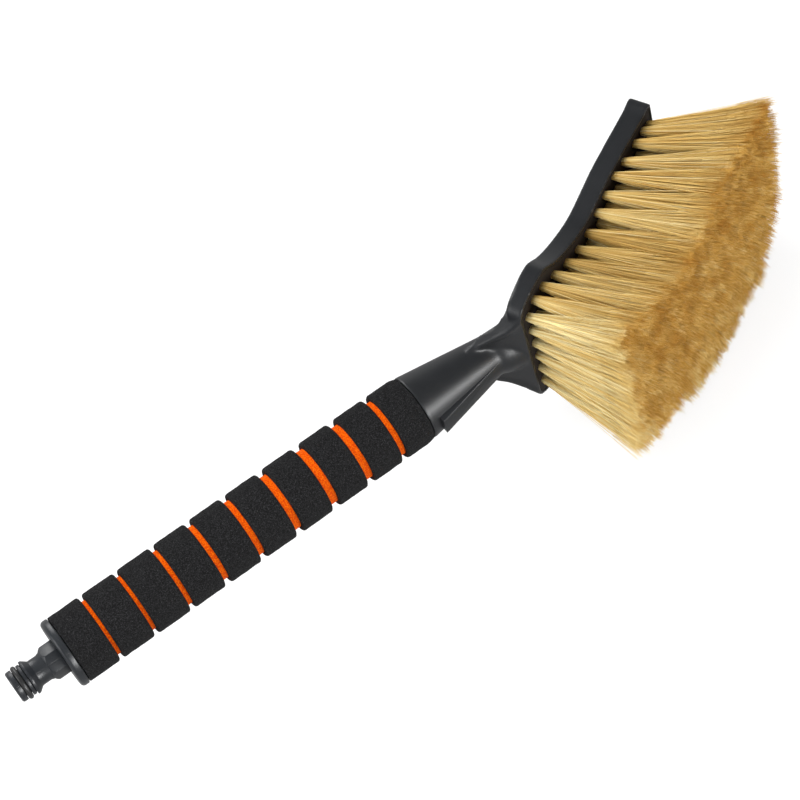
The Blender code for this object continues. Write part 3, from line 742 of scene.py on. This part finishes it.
half_outline = [(share * head_length - head_overhang, -reach * head_half_width)
                for share, reach in outline_shares]
tray_points = half_outline + [(u, -v) for u, v in reversed(half_outline[1:-1])]
tray_outline = smooth_line(tray_points, 6, closed=True)

tray = plate("tray", tray_outline, -tray_depth_far, -rim_setback, head_place)
for point in tray.data.vertices:
    point.select = point.co.z < -rim_setback - back_margin
    if point.select:
        share = (point.co.x + head_overhang) / head_length
        point.co.z = -(tray_depth_near + share * (tray_depth_far - tray_depth_near))
for item in [*tray.data.edges, *tray.data.polygons]:
    item.select = all(tray.data.vertices[i].select for i in item.vertices)
bpy.ops.object.mode_set(mode="EDIT")
bpy.ops.mesh.bevel(offset=tray_rounding, segments=6, affect="EDGES")
bpy.ops.object.mode_set(mode="OBJECT")
settle(tray)

cone_profile = [
    (socket_mouth, mouth_radius - mouth_chamfer), (socket_mouth + mouth_chamfer, mouth_radius),
    *[(socket_mouth + (neck_place - socket_mouth) * step / cone_steps,
       mouth_radius + (neck_radius - mouth_radius) * step / cone_steps)
      for step in range(1, cone_steps)],
    *smooth_line([(neck_place + along * ridge_run, radius * neck_radius)
                  for along, radius in ridge_shares], 4)]
cone = turned("socket_cone", cone_profile, cone_sides, closed=False)

web_start = 0.0343
web_end_share = 0.0083
web_reach_share = 0.830
web_overrun = 0.030
plan_low = -0.020
plan_high = 0.030
web_edge_rise = 0.0009
web_edge_width = 0.0028

# The shoulders' outlines, as shares of their run from the cone to the tray and of their reach
# across it, or of the height of the tray's rim there.
web_plan_shares = (
    (0.000, 0.000), (0.146, 0.048), (0.312, 0.171), (0.470, 0.303), (0.610, 0.436),
    (0.731, 0.593), (0.843, 0.774), (0.916, 0.892), (1.000, 1.000),
)
web_back_shares = (
    (0.000, -0.184), (0.157, -0.184), (0.284, -0.163), (0.381, -0.092), (0.496, 0.007),
    (0.623, 0.106), (0.796, 0.199), (0.995, 0.241), (1.144, 0.184), (1.330, 0.106),
)
web_front_shares = (
    (0.102, -0.064), (0.229, 0.071), (0.398, 0.262), (0.568, 0.454), (0.737, 0.652),
    (0.885, 0.844), (1.000, 1.000),
)
edge_front_shares = (
    (0.000, -0.021), (0.154, 0.076), (0.329, 0.231), (0.494, 0.406), (0.645, 0.615),
    (0.770, 0.788), (0.887, 0.929), (1.000, 1.000),
)


def cone_radius(run):
    """The radius of the socket cone at a run from its mouth."""
    return mouth_radius + (neck_radius - mouth_radius) * run / (neck_place - socket_mouth)


def head_point(along, depth):
    """A point of the head's mid plane, as its place along the handle and its height."""
    x = socket_mouth + head_along + along * math.cos(head_tilt) + depth * math.sin(head_tilt)
    height = head_across - along * math.sin(head_tilt) + depth * math.cos(head_tilt)
    return x, height


def shoulder_side(front_shares, back_rise, rim_drop):
    """A shoulder's side outline: its back, its end inside the tray, and its front."""
    start = socket_mouth + web_start
    rim_x, rim_height = head_point(-head_overhang, -rim_setback - rim_drop)
    inner = head_point(rim_thickness / 2 - head_overhang, -rim_setback - rim_drop)
    run = rim_x - start
    back = smooth_line([(start + along * run, rise * rim_height - back_rise)
                        for along, rise in web_back_shares], 4)
    front = smooth_line([(start + along * run, rise * rim_height)
                         for along, rise in front_shares], 4)
    return [(x, -height) for x, height in [*back, inner, *reversed(front)]]


def shaped_by(name, side_line, plan_line):
    """The solid that has one outline from the side and another in plan."""
    piece = plate(name, side_line, -head_half_width, head_half_width, side_place)
    cut(piece, plate("plan", plan_line, plan_low, plan_high, plan_place), "INTERSECT")
    return piece


web_x = socket_mouth + web_start
web_end_x, _ = head_point(web_end_share * head_length - head_overhang, 0.0)
start_reach = cone_radius(web_start) + web_edge_rise
end_reach = web_reach_share * head_half_width
shoulder_edge = smooth_line(
    [(web_x + along * (web_end_x - web_x), start_reach + across * (end_reach - start_reach))
     for along, across in web_plan_shares], 4)
web_plan = [(x, z - web_edge_width / 2) for x, z in shoulder_edge]
web_plan.append((web_end_x + web_overrun, web_plan[-1][1]))
web = shaped_by("web", shoulder_side(web_front_shares, back_rise=0.0, rim_drop=0.0004),
                [(x, -z) for x, z in web_plan] + list(reversed(web_plan)))
shell_parts = [tray, cone, web]
for side in (1.0, -1.0):
    strip = [(x, side * z) for x, z in shoulder_edge
             + [(x, z - web_edge_width) for x, z in reversed(shoulder_edge)]]
    shell_parts.append(shaped_by(
        "shoulder", shoulder_side(edge_front_shares, back_rise=0.0004, rim_drop=0.0001), strip))

flare_run = 0.0137
flare_end_radius = 0.0134
flare_lead = 0.0010
flare_sink = 0.0005
flare_from = neck_place - 0.0030
flare_to = neck_place + flare_run + 0.0020
flare_near_height = 0.0020
flare_far_height = 0.0055
flare_limit = 0.0200
flare_shares = ((0.02, -0.01), (0.12, 0.38), (0.34, 0.72), (0.62, 0.93), (0.93, 1.08), (1.0, 1.0))
flare_rise = flare_end_radius - neck_radius
flare_line = smooth_line([(neck_place + along * flare_run, neck_radius + up * flare_rise)
                          for along, up in flare_shares], 3)
flare = turned("flare", [(neck_place - flare_lead, neck_radius - flare_sink), *flare_line],
               round_steps, closed=False)
cut(flare, plate("flare_side", [
    (flare_from, -flare_near_height), (flare_to, -flare_far_height), (flare_to, -flare_limit),
    (flare_from, -flare_limit)], -flare_limit, flare_limit, side_place), "INTERSECT")
shell_parts.append(flare)

pocket_outline = inset_line(tray_outline, rim_thickness)
pocket_height = 0.0100
for part in shell_parts:
    settle(part)
    pocket = plate("pocket", pocket_outline, -ledge_depth, pocket_height, head_place)
    settle(pocket)
    cut(part, pocket)
cut(cone, turned("socket_bore", [(socket_mouth - cut_overrun, tube_clear_radius),
                                 (socket_mouth + socket_depth, tube_clear_radius)],
                 round_steps, closed=False))

select_only(tray)
for part in shell_parts:
    part.select_set(True)
bpy.ops.object.join()
shell = tray
shell.name = "head_moulding"
fuse = shell.modifiers.new("fuse", "REMESH")
fuse.mode = "VOXEL"
fuse.voxel_size = 0.00070
apply_modifiers(shell)

# The fused shell is smoothed further round the neck and where the shoulders meet the tray, so
# that fillets grow there. The weights fall off gently, and so the fillets end without a step.
fillet = shell.vertex_groups.new(name="fillet")
to_head = head_place.inverted()
neck_blend_start = neck_place - 0.0200
neck_blend_end = neck_place + 0.0130
neck_blend_ramp = 0.0060
neck_blend_depth = 0.0055
root_blend = 0.0130
root_weight = 1.3
root_from_share = 0.45
root_clear = 0.0016
root_ramp = 0.0030
for point in shell.data.vertices:
    local = point.co - axis_start
    radial = math.hypot(local.y, local.z)
    near_cone = min(1.0 - abs(radial - cone_radius(local.x - socket_mouth)) / neck_blend_depth,
                    (local.x - neck_blend_start) / neck_blend_ramp,
                    (neck_blend_end - local.x) / neck_blend_ramp)
    on_head = to_head @ point.co
    near_corner = min(root_weight - root_weight * abs(on_head.x) / root_blend,
                      (abs(on_head.y) - root_from_share * head_half_width) / root_ramp,
                      (-root_clear - on_head.z) / root_ramp)
    weight = min(1.0, max(near_cone, near_corner))
    if weight > 0.0:
        fillet.add([point.index], weight, "REPLACE")
for group, rounds in (("", 4), ("fillet", 34)):
    soften = shell.modifiers.new("soften", "SMOOTH")
    soften.factor = 0.5
    soften.iterations = rounds
    soften.vertex_group = group
apply_modifiers(shell)
shell.vertex_groups.clear()

rib_start = 0.0052
rib_start_height = 0.0186
rib_end_height = 0.0092
rib_half_width = 0.0050
rib_root = 0.0010
rib_overrun = 0.0006
rib_inner_run = 0.0200
rib_inner_height = 0.0085
rib_inner_end = 0.0070
rib_rounding = 0.00035
rib_x = socket_mouth + rib_start
rib_slope = (rib_end_height - rib_start_height) / (neck_place - rib_x)
rib = plate("rib", [
    (rib_x, -tube_clear_radius - rib_root), (rib_x, -rib_start_height),
    (neck_place + rib_overrun, -rib_end_height - rib_slope * rib_overrun),
    (neck_place + rib_overrun, -rib_inner_end), (neck_place - rib_inner_run, -rib_inner_height)],
    -rib_half_width, rib_half_width, side_place)
settle(rib)
ease_edges(rib, rib_rounding, 3)
cut(shell, rib, "UNION")
smooth_by_angle(shell, angle=38.0)
shell.data.materials.clear()
shell.data.materials.append(moulded_plastic(
    "shell_polypropylene", colour=(0.0085, 0.0092, 0.0105),
    sheen_colour=(0.0130, 0.0140, 0.0158), roughness=0.38))
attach(shell, "root")
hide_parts("head_shell")

# Bristle block: a dark plastic plate in the tray's pocket, drilled for the tufts. Its solid
# behind the face stays, and the face that shows between the tufts is made anew, a little below
# the tray's rim.

slice_thickness = 0.0025
seat_gap = 0.0003
bed_gap = 0.00005
bed_depth = 0.0012
bed_rounding = 0.00015
block_outline = inset_line(tray_outline, rim_thickness + seat_gap)
bed = plate("tuft_bed", inset_line(tray_outline, rim_thickness + bed_gap), -slice_thickness,
            -bed_depth, head_place)
settle(bed)
ease_edges(bed, bed_rounding, 2, angle=60.0)


def block_plastic(name):
    """Matt dark plastic, a little blotchy, with a fine grain."""
    finish = Finish(name)
    place = finish.place()
    blots = finish.speckle(place, size=0.003, detail=3.0, roughness=0.6)
    grain = finish.speckle(place, size=0.0003, detail=1.0)
    base = finish.mix(blots, (0.010, 0.007, 0.005), (0.020, 0.013, 0.009))
    bump = finish.bump(strength=0.4, distance=0.0001, height=blots + grain)
    return finish.solid({"Base Color": base, "Roughness": grain * 0.1 + 0.65, "Normal": bump,
                         "Specular IOR Level": 0.3})


dark_block = block_plastic("block_plastic")
bed.data.materials.append(dark_block)
finish_nodes(dark_block, "bristle_block")
smooth_by_angle(bed)
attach(bed, "root")

# Bristles: fourteen rows of six tufts, each a bundle of soft flagged bristles that is folded
# and wired into its hole. The bristles fan out from the hole, and their ends are split into
# finer hairs, so the tufts merge into one soft pad that is trimmed almost flat.

# The rows' places along the block, and how far their outer tufts sit out to its sides.
row_shares = (0.030, 0.084, 0.148, 0.227, 0.313, 0.394, 0.472, 0.553, 0.625, 0.703, 0.778, 0.869,
              0.932, 0.972)
row_reach_shares = (0.798, 0.895, 0.866, 0.867, 0.839, 0.791, 0.836, 0.911, 0.919, 0.953, 0.895,
                    0.870, 0.853, 0.779)

# How far the tips of each row reach out on the upper and on the lower side of the pad.
upper_tip_shares = (0.935, 0.885, 0.805, 0.720, 0.655, 0.640, 0.700, 0.735, 0.780, 0.835,
                    0.900, 0.930, 0.930, 0.900)
lower_tip_shares = (0.600, 0.690, 0.765, 0.805, 0.835, 0.865, 0.900, 0.940, 0.965, 0.975,
                    0.975, 0.970, 0.960, 0.950)
tip_low = -0.0088
tip_high = 0.1412
tip_half_width = 0.0600
length_near = 0.0580
length_far = 0.0612
lower_bulge = 0.0032

# The pad's lower corners: the far one is cut back on a curve, and the near one spreads.
corner_start = -0.0100
corner_run = 0.0490
corner_cut = 0.0320
corner_limit = 1.2
corner_curve = 1.7
near_start = -0.0150
near_run = 0.0200
near_spread = 0.0045

# A tuft, and how wide it fans out. The first of the shares is for the edges of the pad.
tufts_in_row = 6
tuft_radius = 0.0021
bristles_in_tuft = 260
bristle_radius = 0.00014
root_sink = 0.0006
strand_bend = 0.92
tip_edge_share = 0.30
fan_across_share = 0.78
fan_along_share = 0.88
disc_share = 0.80
disc_corner_share = 0.28

# Chance: how tufts lean and clump, and how bristles end unevenly, splay, sway and stray.
tuft_lean = 0.0006
clump_size = 0.0062
clump_seed = 3.7
clump_rise = 0.0011
tip_jitter = 0.0005
tip_drop = 0.0013
tip_unevenness = 0.0009
splay_mean = 0.0020
splay_limit = 0.0042
splay_share = 0.55
near_splay_share = 0.6
sway_spread = 0.00030
stray_share = 0.02
stray_margin = 0.004
stray_factor = 5.0
thinnest_share = 0.8
thickest_share = 1.15

# Shades, from dark at 0 to pale at 1. The near rows are paler as painted light. The ends on the
# pad's face, not those at its margin, are darker and more golden as painted shade.
# Painted light: the near rows are paler, as the brush's near end catches more light.
near_end_painted_light = 0.28
middle_shade = 0.50
tuft_shade_spread = 0.05
bristle_shade_spread = 0.22
# The ends' shade: their own, with painted light on raised clumps and painted shade on sunken ones,
# and painted shade that deepens towards the pad's upper side.
end_own_share = 0.65
end_clump_lighting_share = 0.45
end_edge_shade_share = 0.24
end_darkening = 0.02
face_margin = 0.0010
face_ramp = 0.0014
end_shade_place = 0.940
end_shade_ramp = 0.030

# The finer hairs that each bristle's end is split into.
hairs_on_bristle = 2
split_place = 0.70
split_ramp = 0.30
hair_spread = 0.0006
hair_shortest = -0.0016
hair_longest = 0.0006

# One bristle and one hair: places along them, and thicknesses there.
ring_places = (0.0, 0.16, 0.42, 0.74, 0.955, 1.0)
ring_sizes = (1.0, 1.0, 0.97, 0.88, 0.65, 0.25)
hair_places = (0.72, 0.955, 1.0)
hair_sizes = (0.60, 0.48, 0.20)


def strand_shape(places, sizes):
    """One bristle of unit length and thickness: a three-sided ring that is extruded along Z."""
    bpy.ops.object.select_all(action="DESELECT")
    bpy.ops.mesh.primitive_circle_add(vertices=3, radius=sizes[0], fill_type="NGON",
                                      location=(0.0, 0.0, places[0]))
    bpy.ops.object.transform_apply(location=True, rotation=True, scale=True)
    strand = bpy.context.object
    open_mesh()
    for place, after, size, after_size in zip(places, places[1:], sizes, sizes[1:]):
        bpy.ops.mesh.extrude_region_move(
            TRANSFORM_OT_translate={"value": (0.0, 0.0, after - place)})
        bpy.ops.transform.resize(value=(after_size / size, after_size / size, 1.0),
                                 center_override=(0.0, 0.0, after))
    close_mesh()
    points = np.array([v.co for v in strand.data.vertices])
    faces = [tuple(face.vertices) for face in strand.data.polygons]
    bpy.data.objects.remove(strand)
    return points, faces


bristle_points, bristle_faces = strand_shape(ring_places, ring_sizes)
hair_points, hair_faces = strand_shape(hair_places, hair_sizes)


def reach_at(outline, along):
    """How far an outline reaches across at a place along it."""
    reach = 0.0
    for i, (start, low) in enumerate(outline):
        end, high = outline[(i + 1) % len(outline)]
        if min(start, end) <= along <= max(start, end) and start != end:
            reach = max(reach, low + (high - low) * (along - start) / (end - start))
    return reach


def lay_strands(template, roots, tips, thickness, side_step, sway):
    """Copies one bristle along many paths, which fan out from their roots and bend a little."""
    t = template[:, 2][None, :, None]
    spread = strand_bend * t + (1.0 - strand_bend) * t * t
    path = roots[:, None, :] * (1.0 - spread) + tips[:, None, :] * spread
    path[:, :, 2] = roots[:, None, 2] * (1.0 - t[:, :, 0]) + tips[:, None, 2] * t[:, :, 0]
    path += sway[:, None, :] * np.sin(t * math.pi) + side_step[:, None, :] * np.clip(
        (t - split_place) / split_ramp, 0.0, 1.0)
    path[:, :, :2] += template[None, :, :2] * thickness[:, None, None]
    return path


def bristle_finish(name):
    """Pale straw-coloured bristle: each has its own shade, and the ends on the pad's face are darker
    and more golden, as painted shade.
    """
    finish = Finish(name)
    shade = finish.node("ShaderNodeAttribute", {"attribute_name": "shade"}, output="Fac")
    # 1 at the ends of bristles inside the pad's margin, where the face is painted in shade, and 0
    # elsewhere.
    golden = finish.node("ShaderNodeAttribute", {"attribute_name": "golden"}, output="Fac")
    base = finish.node("ShaderNodeValToRGB", {"stops": (
        (0.0, (0.44, 0.225, 0.042)), (0.30, (0.71, 0.465, 0.135)), (0.70, (0.86, 0.63, 0.228)),
        (1.0, (0.98, 0.85, 0.47)))}, {"Fac": shade})
    # The colours of the painted shade on the pad's face: darker and more golden than the bristles'
    # sides.
    ends = finish.node("ShaderNodeValToRGB", {"stops": (
        (0.0, (0.45, 0.170, 0.012)), (0.40, (0.67, 0.350, 0.050)), (0.75, (0.90, 0.61, 0.180)),
        (1.0, (1.0, 0.83, 0.42)))}, {"Fac": shade})
    base = finish.mix(golden, base, ends)
    return finish.solid({"Base Color": base, "Roughness": shade * 0.15 + 0.50, "IOR": 1.48,
                         "Specular IOR Level": 0.14})


def sided(disc, low, high):
    """Stretches a tuft's disc by one reach on its low side and another on its high side."""
    return np.where(disc < 0.0, disc * low, disc * high)


def trimmed(tips):
    """The pad's worn outline: its far lower corner is rounded, and its near one spreads."""
    across = tips[:, 1]
    corner = np.clip((corner_start - across) / corner_run, 0.0, corner_limit)
    high = tip_high - corner_cut * corner ** corner_curve
    low = tip_low - near_spread * np.clip((near_start - across) / near_run, 0.0, 1.0)
    share = (tips[:, 0] - tip_low) / (tip_high - tip_low)
    return low + share * (high - low)


def clumps(tips):
    """A smooth chance value for each tip, alike for the tips of one clump."""
    return np.array([noise.noise((along / clump_size, across / clump_size, clump_seed))
                     for along, across in tips[:, :2]])


straw = bristle_finish("straw_bristle")
first_hole = rim_thickness + seat_gap - head_overhang
last_hole = head_length - head_overhang - rim_thickness - seat_gap
last_row = len(row_shares) - 1
row_pitch = (tip_high - tip_low) / (last_row + 2 * tip_edge_share)
golden_angle = math.radians(137.508)
chance = np.random.default_rng(12)
box_low, box_high = (np.array(corner) for corner in solid_box)
for row, share in enumerate(row_shares):
    hole_u = first_hole + share * (last_hole - first_hole)
    hole_reach = row_reach_shares[row] * (reach_at(block_outline, hole_u) - tuft_radius)
    tip_u = tip_low + (row + tip_edge_share) * row_pitch
    upper = upper_tip_shares[row] * tip_half_width
    lower = lower_tip_shares[row] * tip_half_width
    tip_middle = (upper - lower) / 2
    tip_reach = (upper + lower) / 2
    length = length_near + row / last_row * (length_far - length_near)
    pitch_across = 2 * tip_reach / (tufts_in_row - 1 + 2 * tip_edge_share)
    parts = []
    for tuft in range(tufts_in_row):
        side = 2 * tuft / (tufts_in_row - 1) - 1
        count = bristles_in_tuft
        order = np.arange(count)
        turn = order * golden_angle + chance.uniform(0.0, math.tau)
        spread = np.sqrt((order + 0.5) / count)
        disc = np.stack([np.cos(turn) * spread, np.sin(turn) * spread], 1)
        roots = np.zeros((count, 3))
        roots[:, 0] = hole_u + disc[:, 0] * (tuft_radius - bristle_radius)
        roots[:, 1] = side * hole_reach + disc[:, 1] * (tuft_radius - bristle_radius)
        roots[:, 2] = -bed_depth - root_sink
        square = disc * (disc_share + disc_corner_share * np.abs(np.sin(2 * turn))[:, None])
        lean = chance.normal(0.0, tuft_lean, 3)
        jitter = chance.normal(0.0, tip_jitter, (count, 2)) + lean[:2]
        tips = np.zeros((count, 3))
        tips[:, 0] = tip_u + jitter[:, 0] + row_pitch * sided(
            square[:, 0], tip_edge_share if row == 0 else fan_along_share,
            tip_edge_share if row == last_row else fan_along_share)
        tips[:, 1] = (tip_middle + side * (tip_reach - pitch_across * tip_edge_share)
                      + jitter[:, 1] + pitch_across * sided(
                          square[:, 1], tip_edge_share if tuft == 0 else fan_across_share,
                          tip_edge_share if tuft == tufts_in_row - 1 else fan_across_share))
        tips[:, 0] = trimmed(tips)
        tips[:, 2] = length + lean[2] + chance.normal(-tip_drop, tip_unevenness, count)
        tips[:, 2] += lower_bulge * math.sin(math.pi * row / last_row) * np.clip(
            -tips[:, 1] / tip_half_width, 0.0, 1.0)
        splayed = np.minimum(chance.exponential(splay_mean, count), splay_limit) * (
            chance.uniform(0.0, 1.0, count) < splay_share)
        if tuft == 0:
            tips[:, 1] -= splayed * (square[:, 1] < 0.0)
        if row == last_row:
            tips[:, 0] += splayed * (square[:, 0] > 0.0)
        if row == 0:
            tips[:, 0] -= splayed * (square[:, 0] < 0.0) * near_splay_share
        tuft_shade = chance.normal(middle_shade, tuft_shade_spread)
        # Painted light: the tufts of the first rows are made paler.
        tuft_shade += near_end_painted_light * max(0.0, 1.0 - row / 2)
        parts.append((roots, tips, chance.normal(tuft_shade, bristle_shade_spread, count)))
    roots, tips, shade = (np.concatenate(kind) for kind in zip(*parts))
    shade = np.clip(shade, 0.0, 1.0)
    clump = clumps(tips)
    tips[:, 2] += clump_rise * clump
    margin = np.minimum(np.minimum(tips[:, 0] - tip_low, tip_high - tips[:, 0]),
                        np.minimum(tips[:, 1] + lower, upper - tips[:, 1]))
    # Ends away from the pad's margin take the painted shade of the face.
    inside = np.clip((margin - face_margin) / face_ramp, 0.0, 1.0)
    # Painted light and shade of the face's ends: paler on raised clumps, darker on sunken ones, and
    # darker towards the pad's upper side.
    depth_share = (upper - tips[:, 1]) / (upper + lower)
    end_shade = np.clip(shade * end_own_share + clump * end_clump_lighting_share
                        + depth_share * end_edge_shade_share - end_darkening, 0.0, 1.0)
    count = len(roots)
    sway = np.zeros((count, 3))
    sway[:, :2] = chance.normal(0.0, sway_spread, (count, 2))
    stray = (chance.uniform(0.0, 1.0, count) < stray_share) & (margin > stray_margin)
    sway[stray, :2] *= stray_factor
    thickness = bristle_radius * chance.uniform(thinnest_share, thickest_share, count)
    sheets = [(bristle_points, bristle_faces, np.zeros((count, 3)))]
    for _ in range(hairs_on_bristle):
        step = np.zeros((count, 3))
        step[:, :2] = chance.normal(0.0, hair_spread, (count, 2))
        step[:, 2] = chance.uniform(hair_shortest, hair_longest, count)
        sheets.append((hair_points, hair_faces, step))
    points, faces, shades, face_painted_shades = [], [], [], []
    base_index = 0
    for template, template_faces, step in sheets:
        size = len(template)
        laid = lay_strands(template, roots, tips, thickness, step, sway)
        points.append(laid.reshape(-1, 3))
        offsets = base_index + np.arange(count)[:, None] * size
        faces += [offsets + np.array(face)[None, :] for face in template_faces]
        # Near their ends the bristles take their end shade, and those on the pad's face take its
        # painted shade.
        near_end = np.clip((template[:, 2] - end_shade_place) / end_shade_ramp, 0.0, 1.0)
        shades.append((shade[:, None] * (1.0 - near_end) + end_shade[:, None] * near_end).ravel())
        face_painted_shades.append((inside[:, None] * near_end[None, :]).ravel())
        base_index += count * size
    quads = np.concatenate([f for f in faces if f.shape[1] == 4])
    ends = np.concatenate([f for f in faces if f.shape[1] == 3])
    mesh = bpy.data.meshes.new(f"bristle_row_{row + 1:02d}")
    laid_points = np.concatenate(points) @ np.array(head_place.to_3x3()).T + np.array(head_origin)
    laid_points = np.clip(laid_points, box_low + bristle_radius, box_high - bristle_radius)
    mesh.from_pydata(laid_points.tolist(), [], quads.tolist() + ends.tolist())
    for name, values in (("shade", shades), ("golden", face_painted_shades)):
        kept = mesh.attributes.new(name, "FLOAT", "POINT")
        kept.data.foreach_set("value", np.concatenate(values).astype(np.float32))
    mesh.polygons.foreach_set("use_smooth", [True] * len(mesh.polygons))
    bristles = bpy.data.objects.new(mesh.name, mesh)
    bpy.context.scene.collection.objects.link(bristles)
    mesh.materials.append(straw)
    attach(bristles, "root")
    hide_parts(f"tuft_row_{row + 1:02d}")
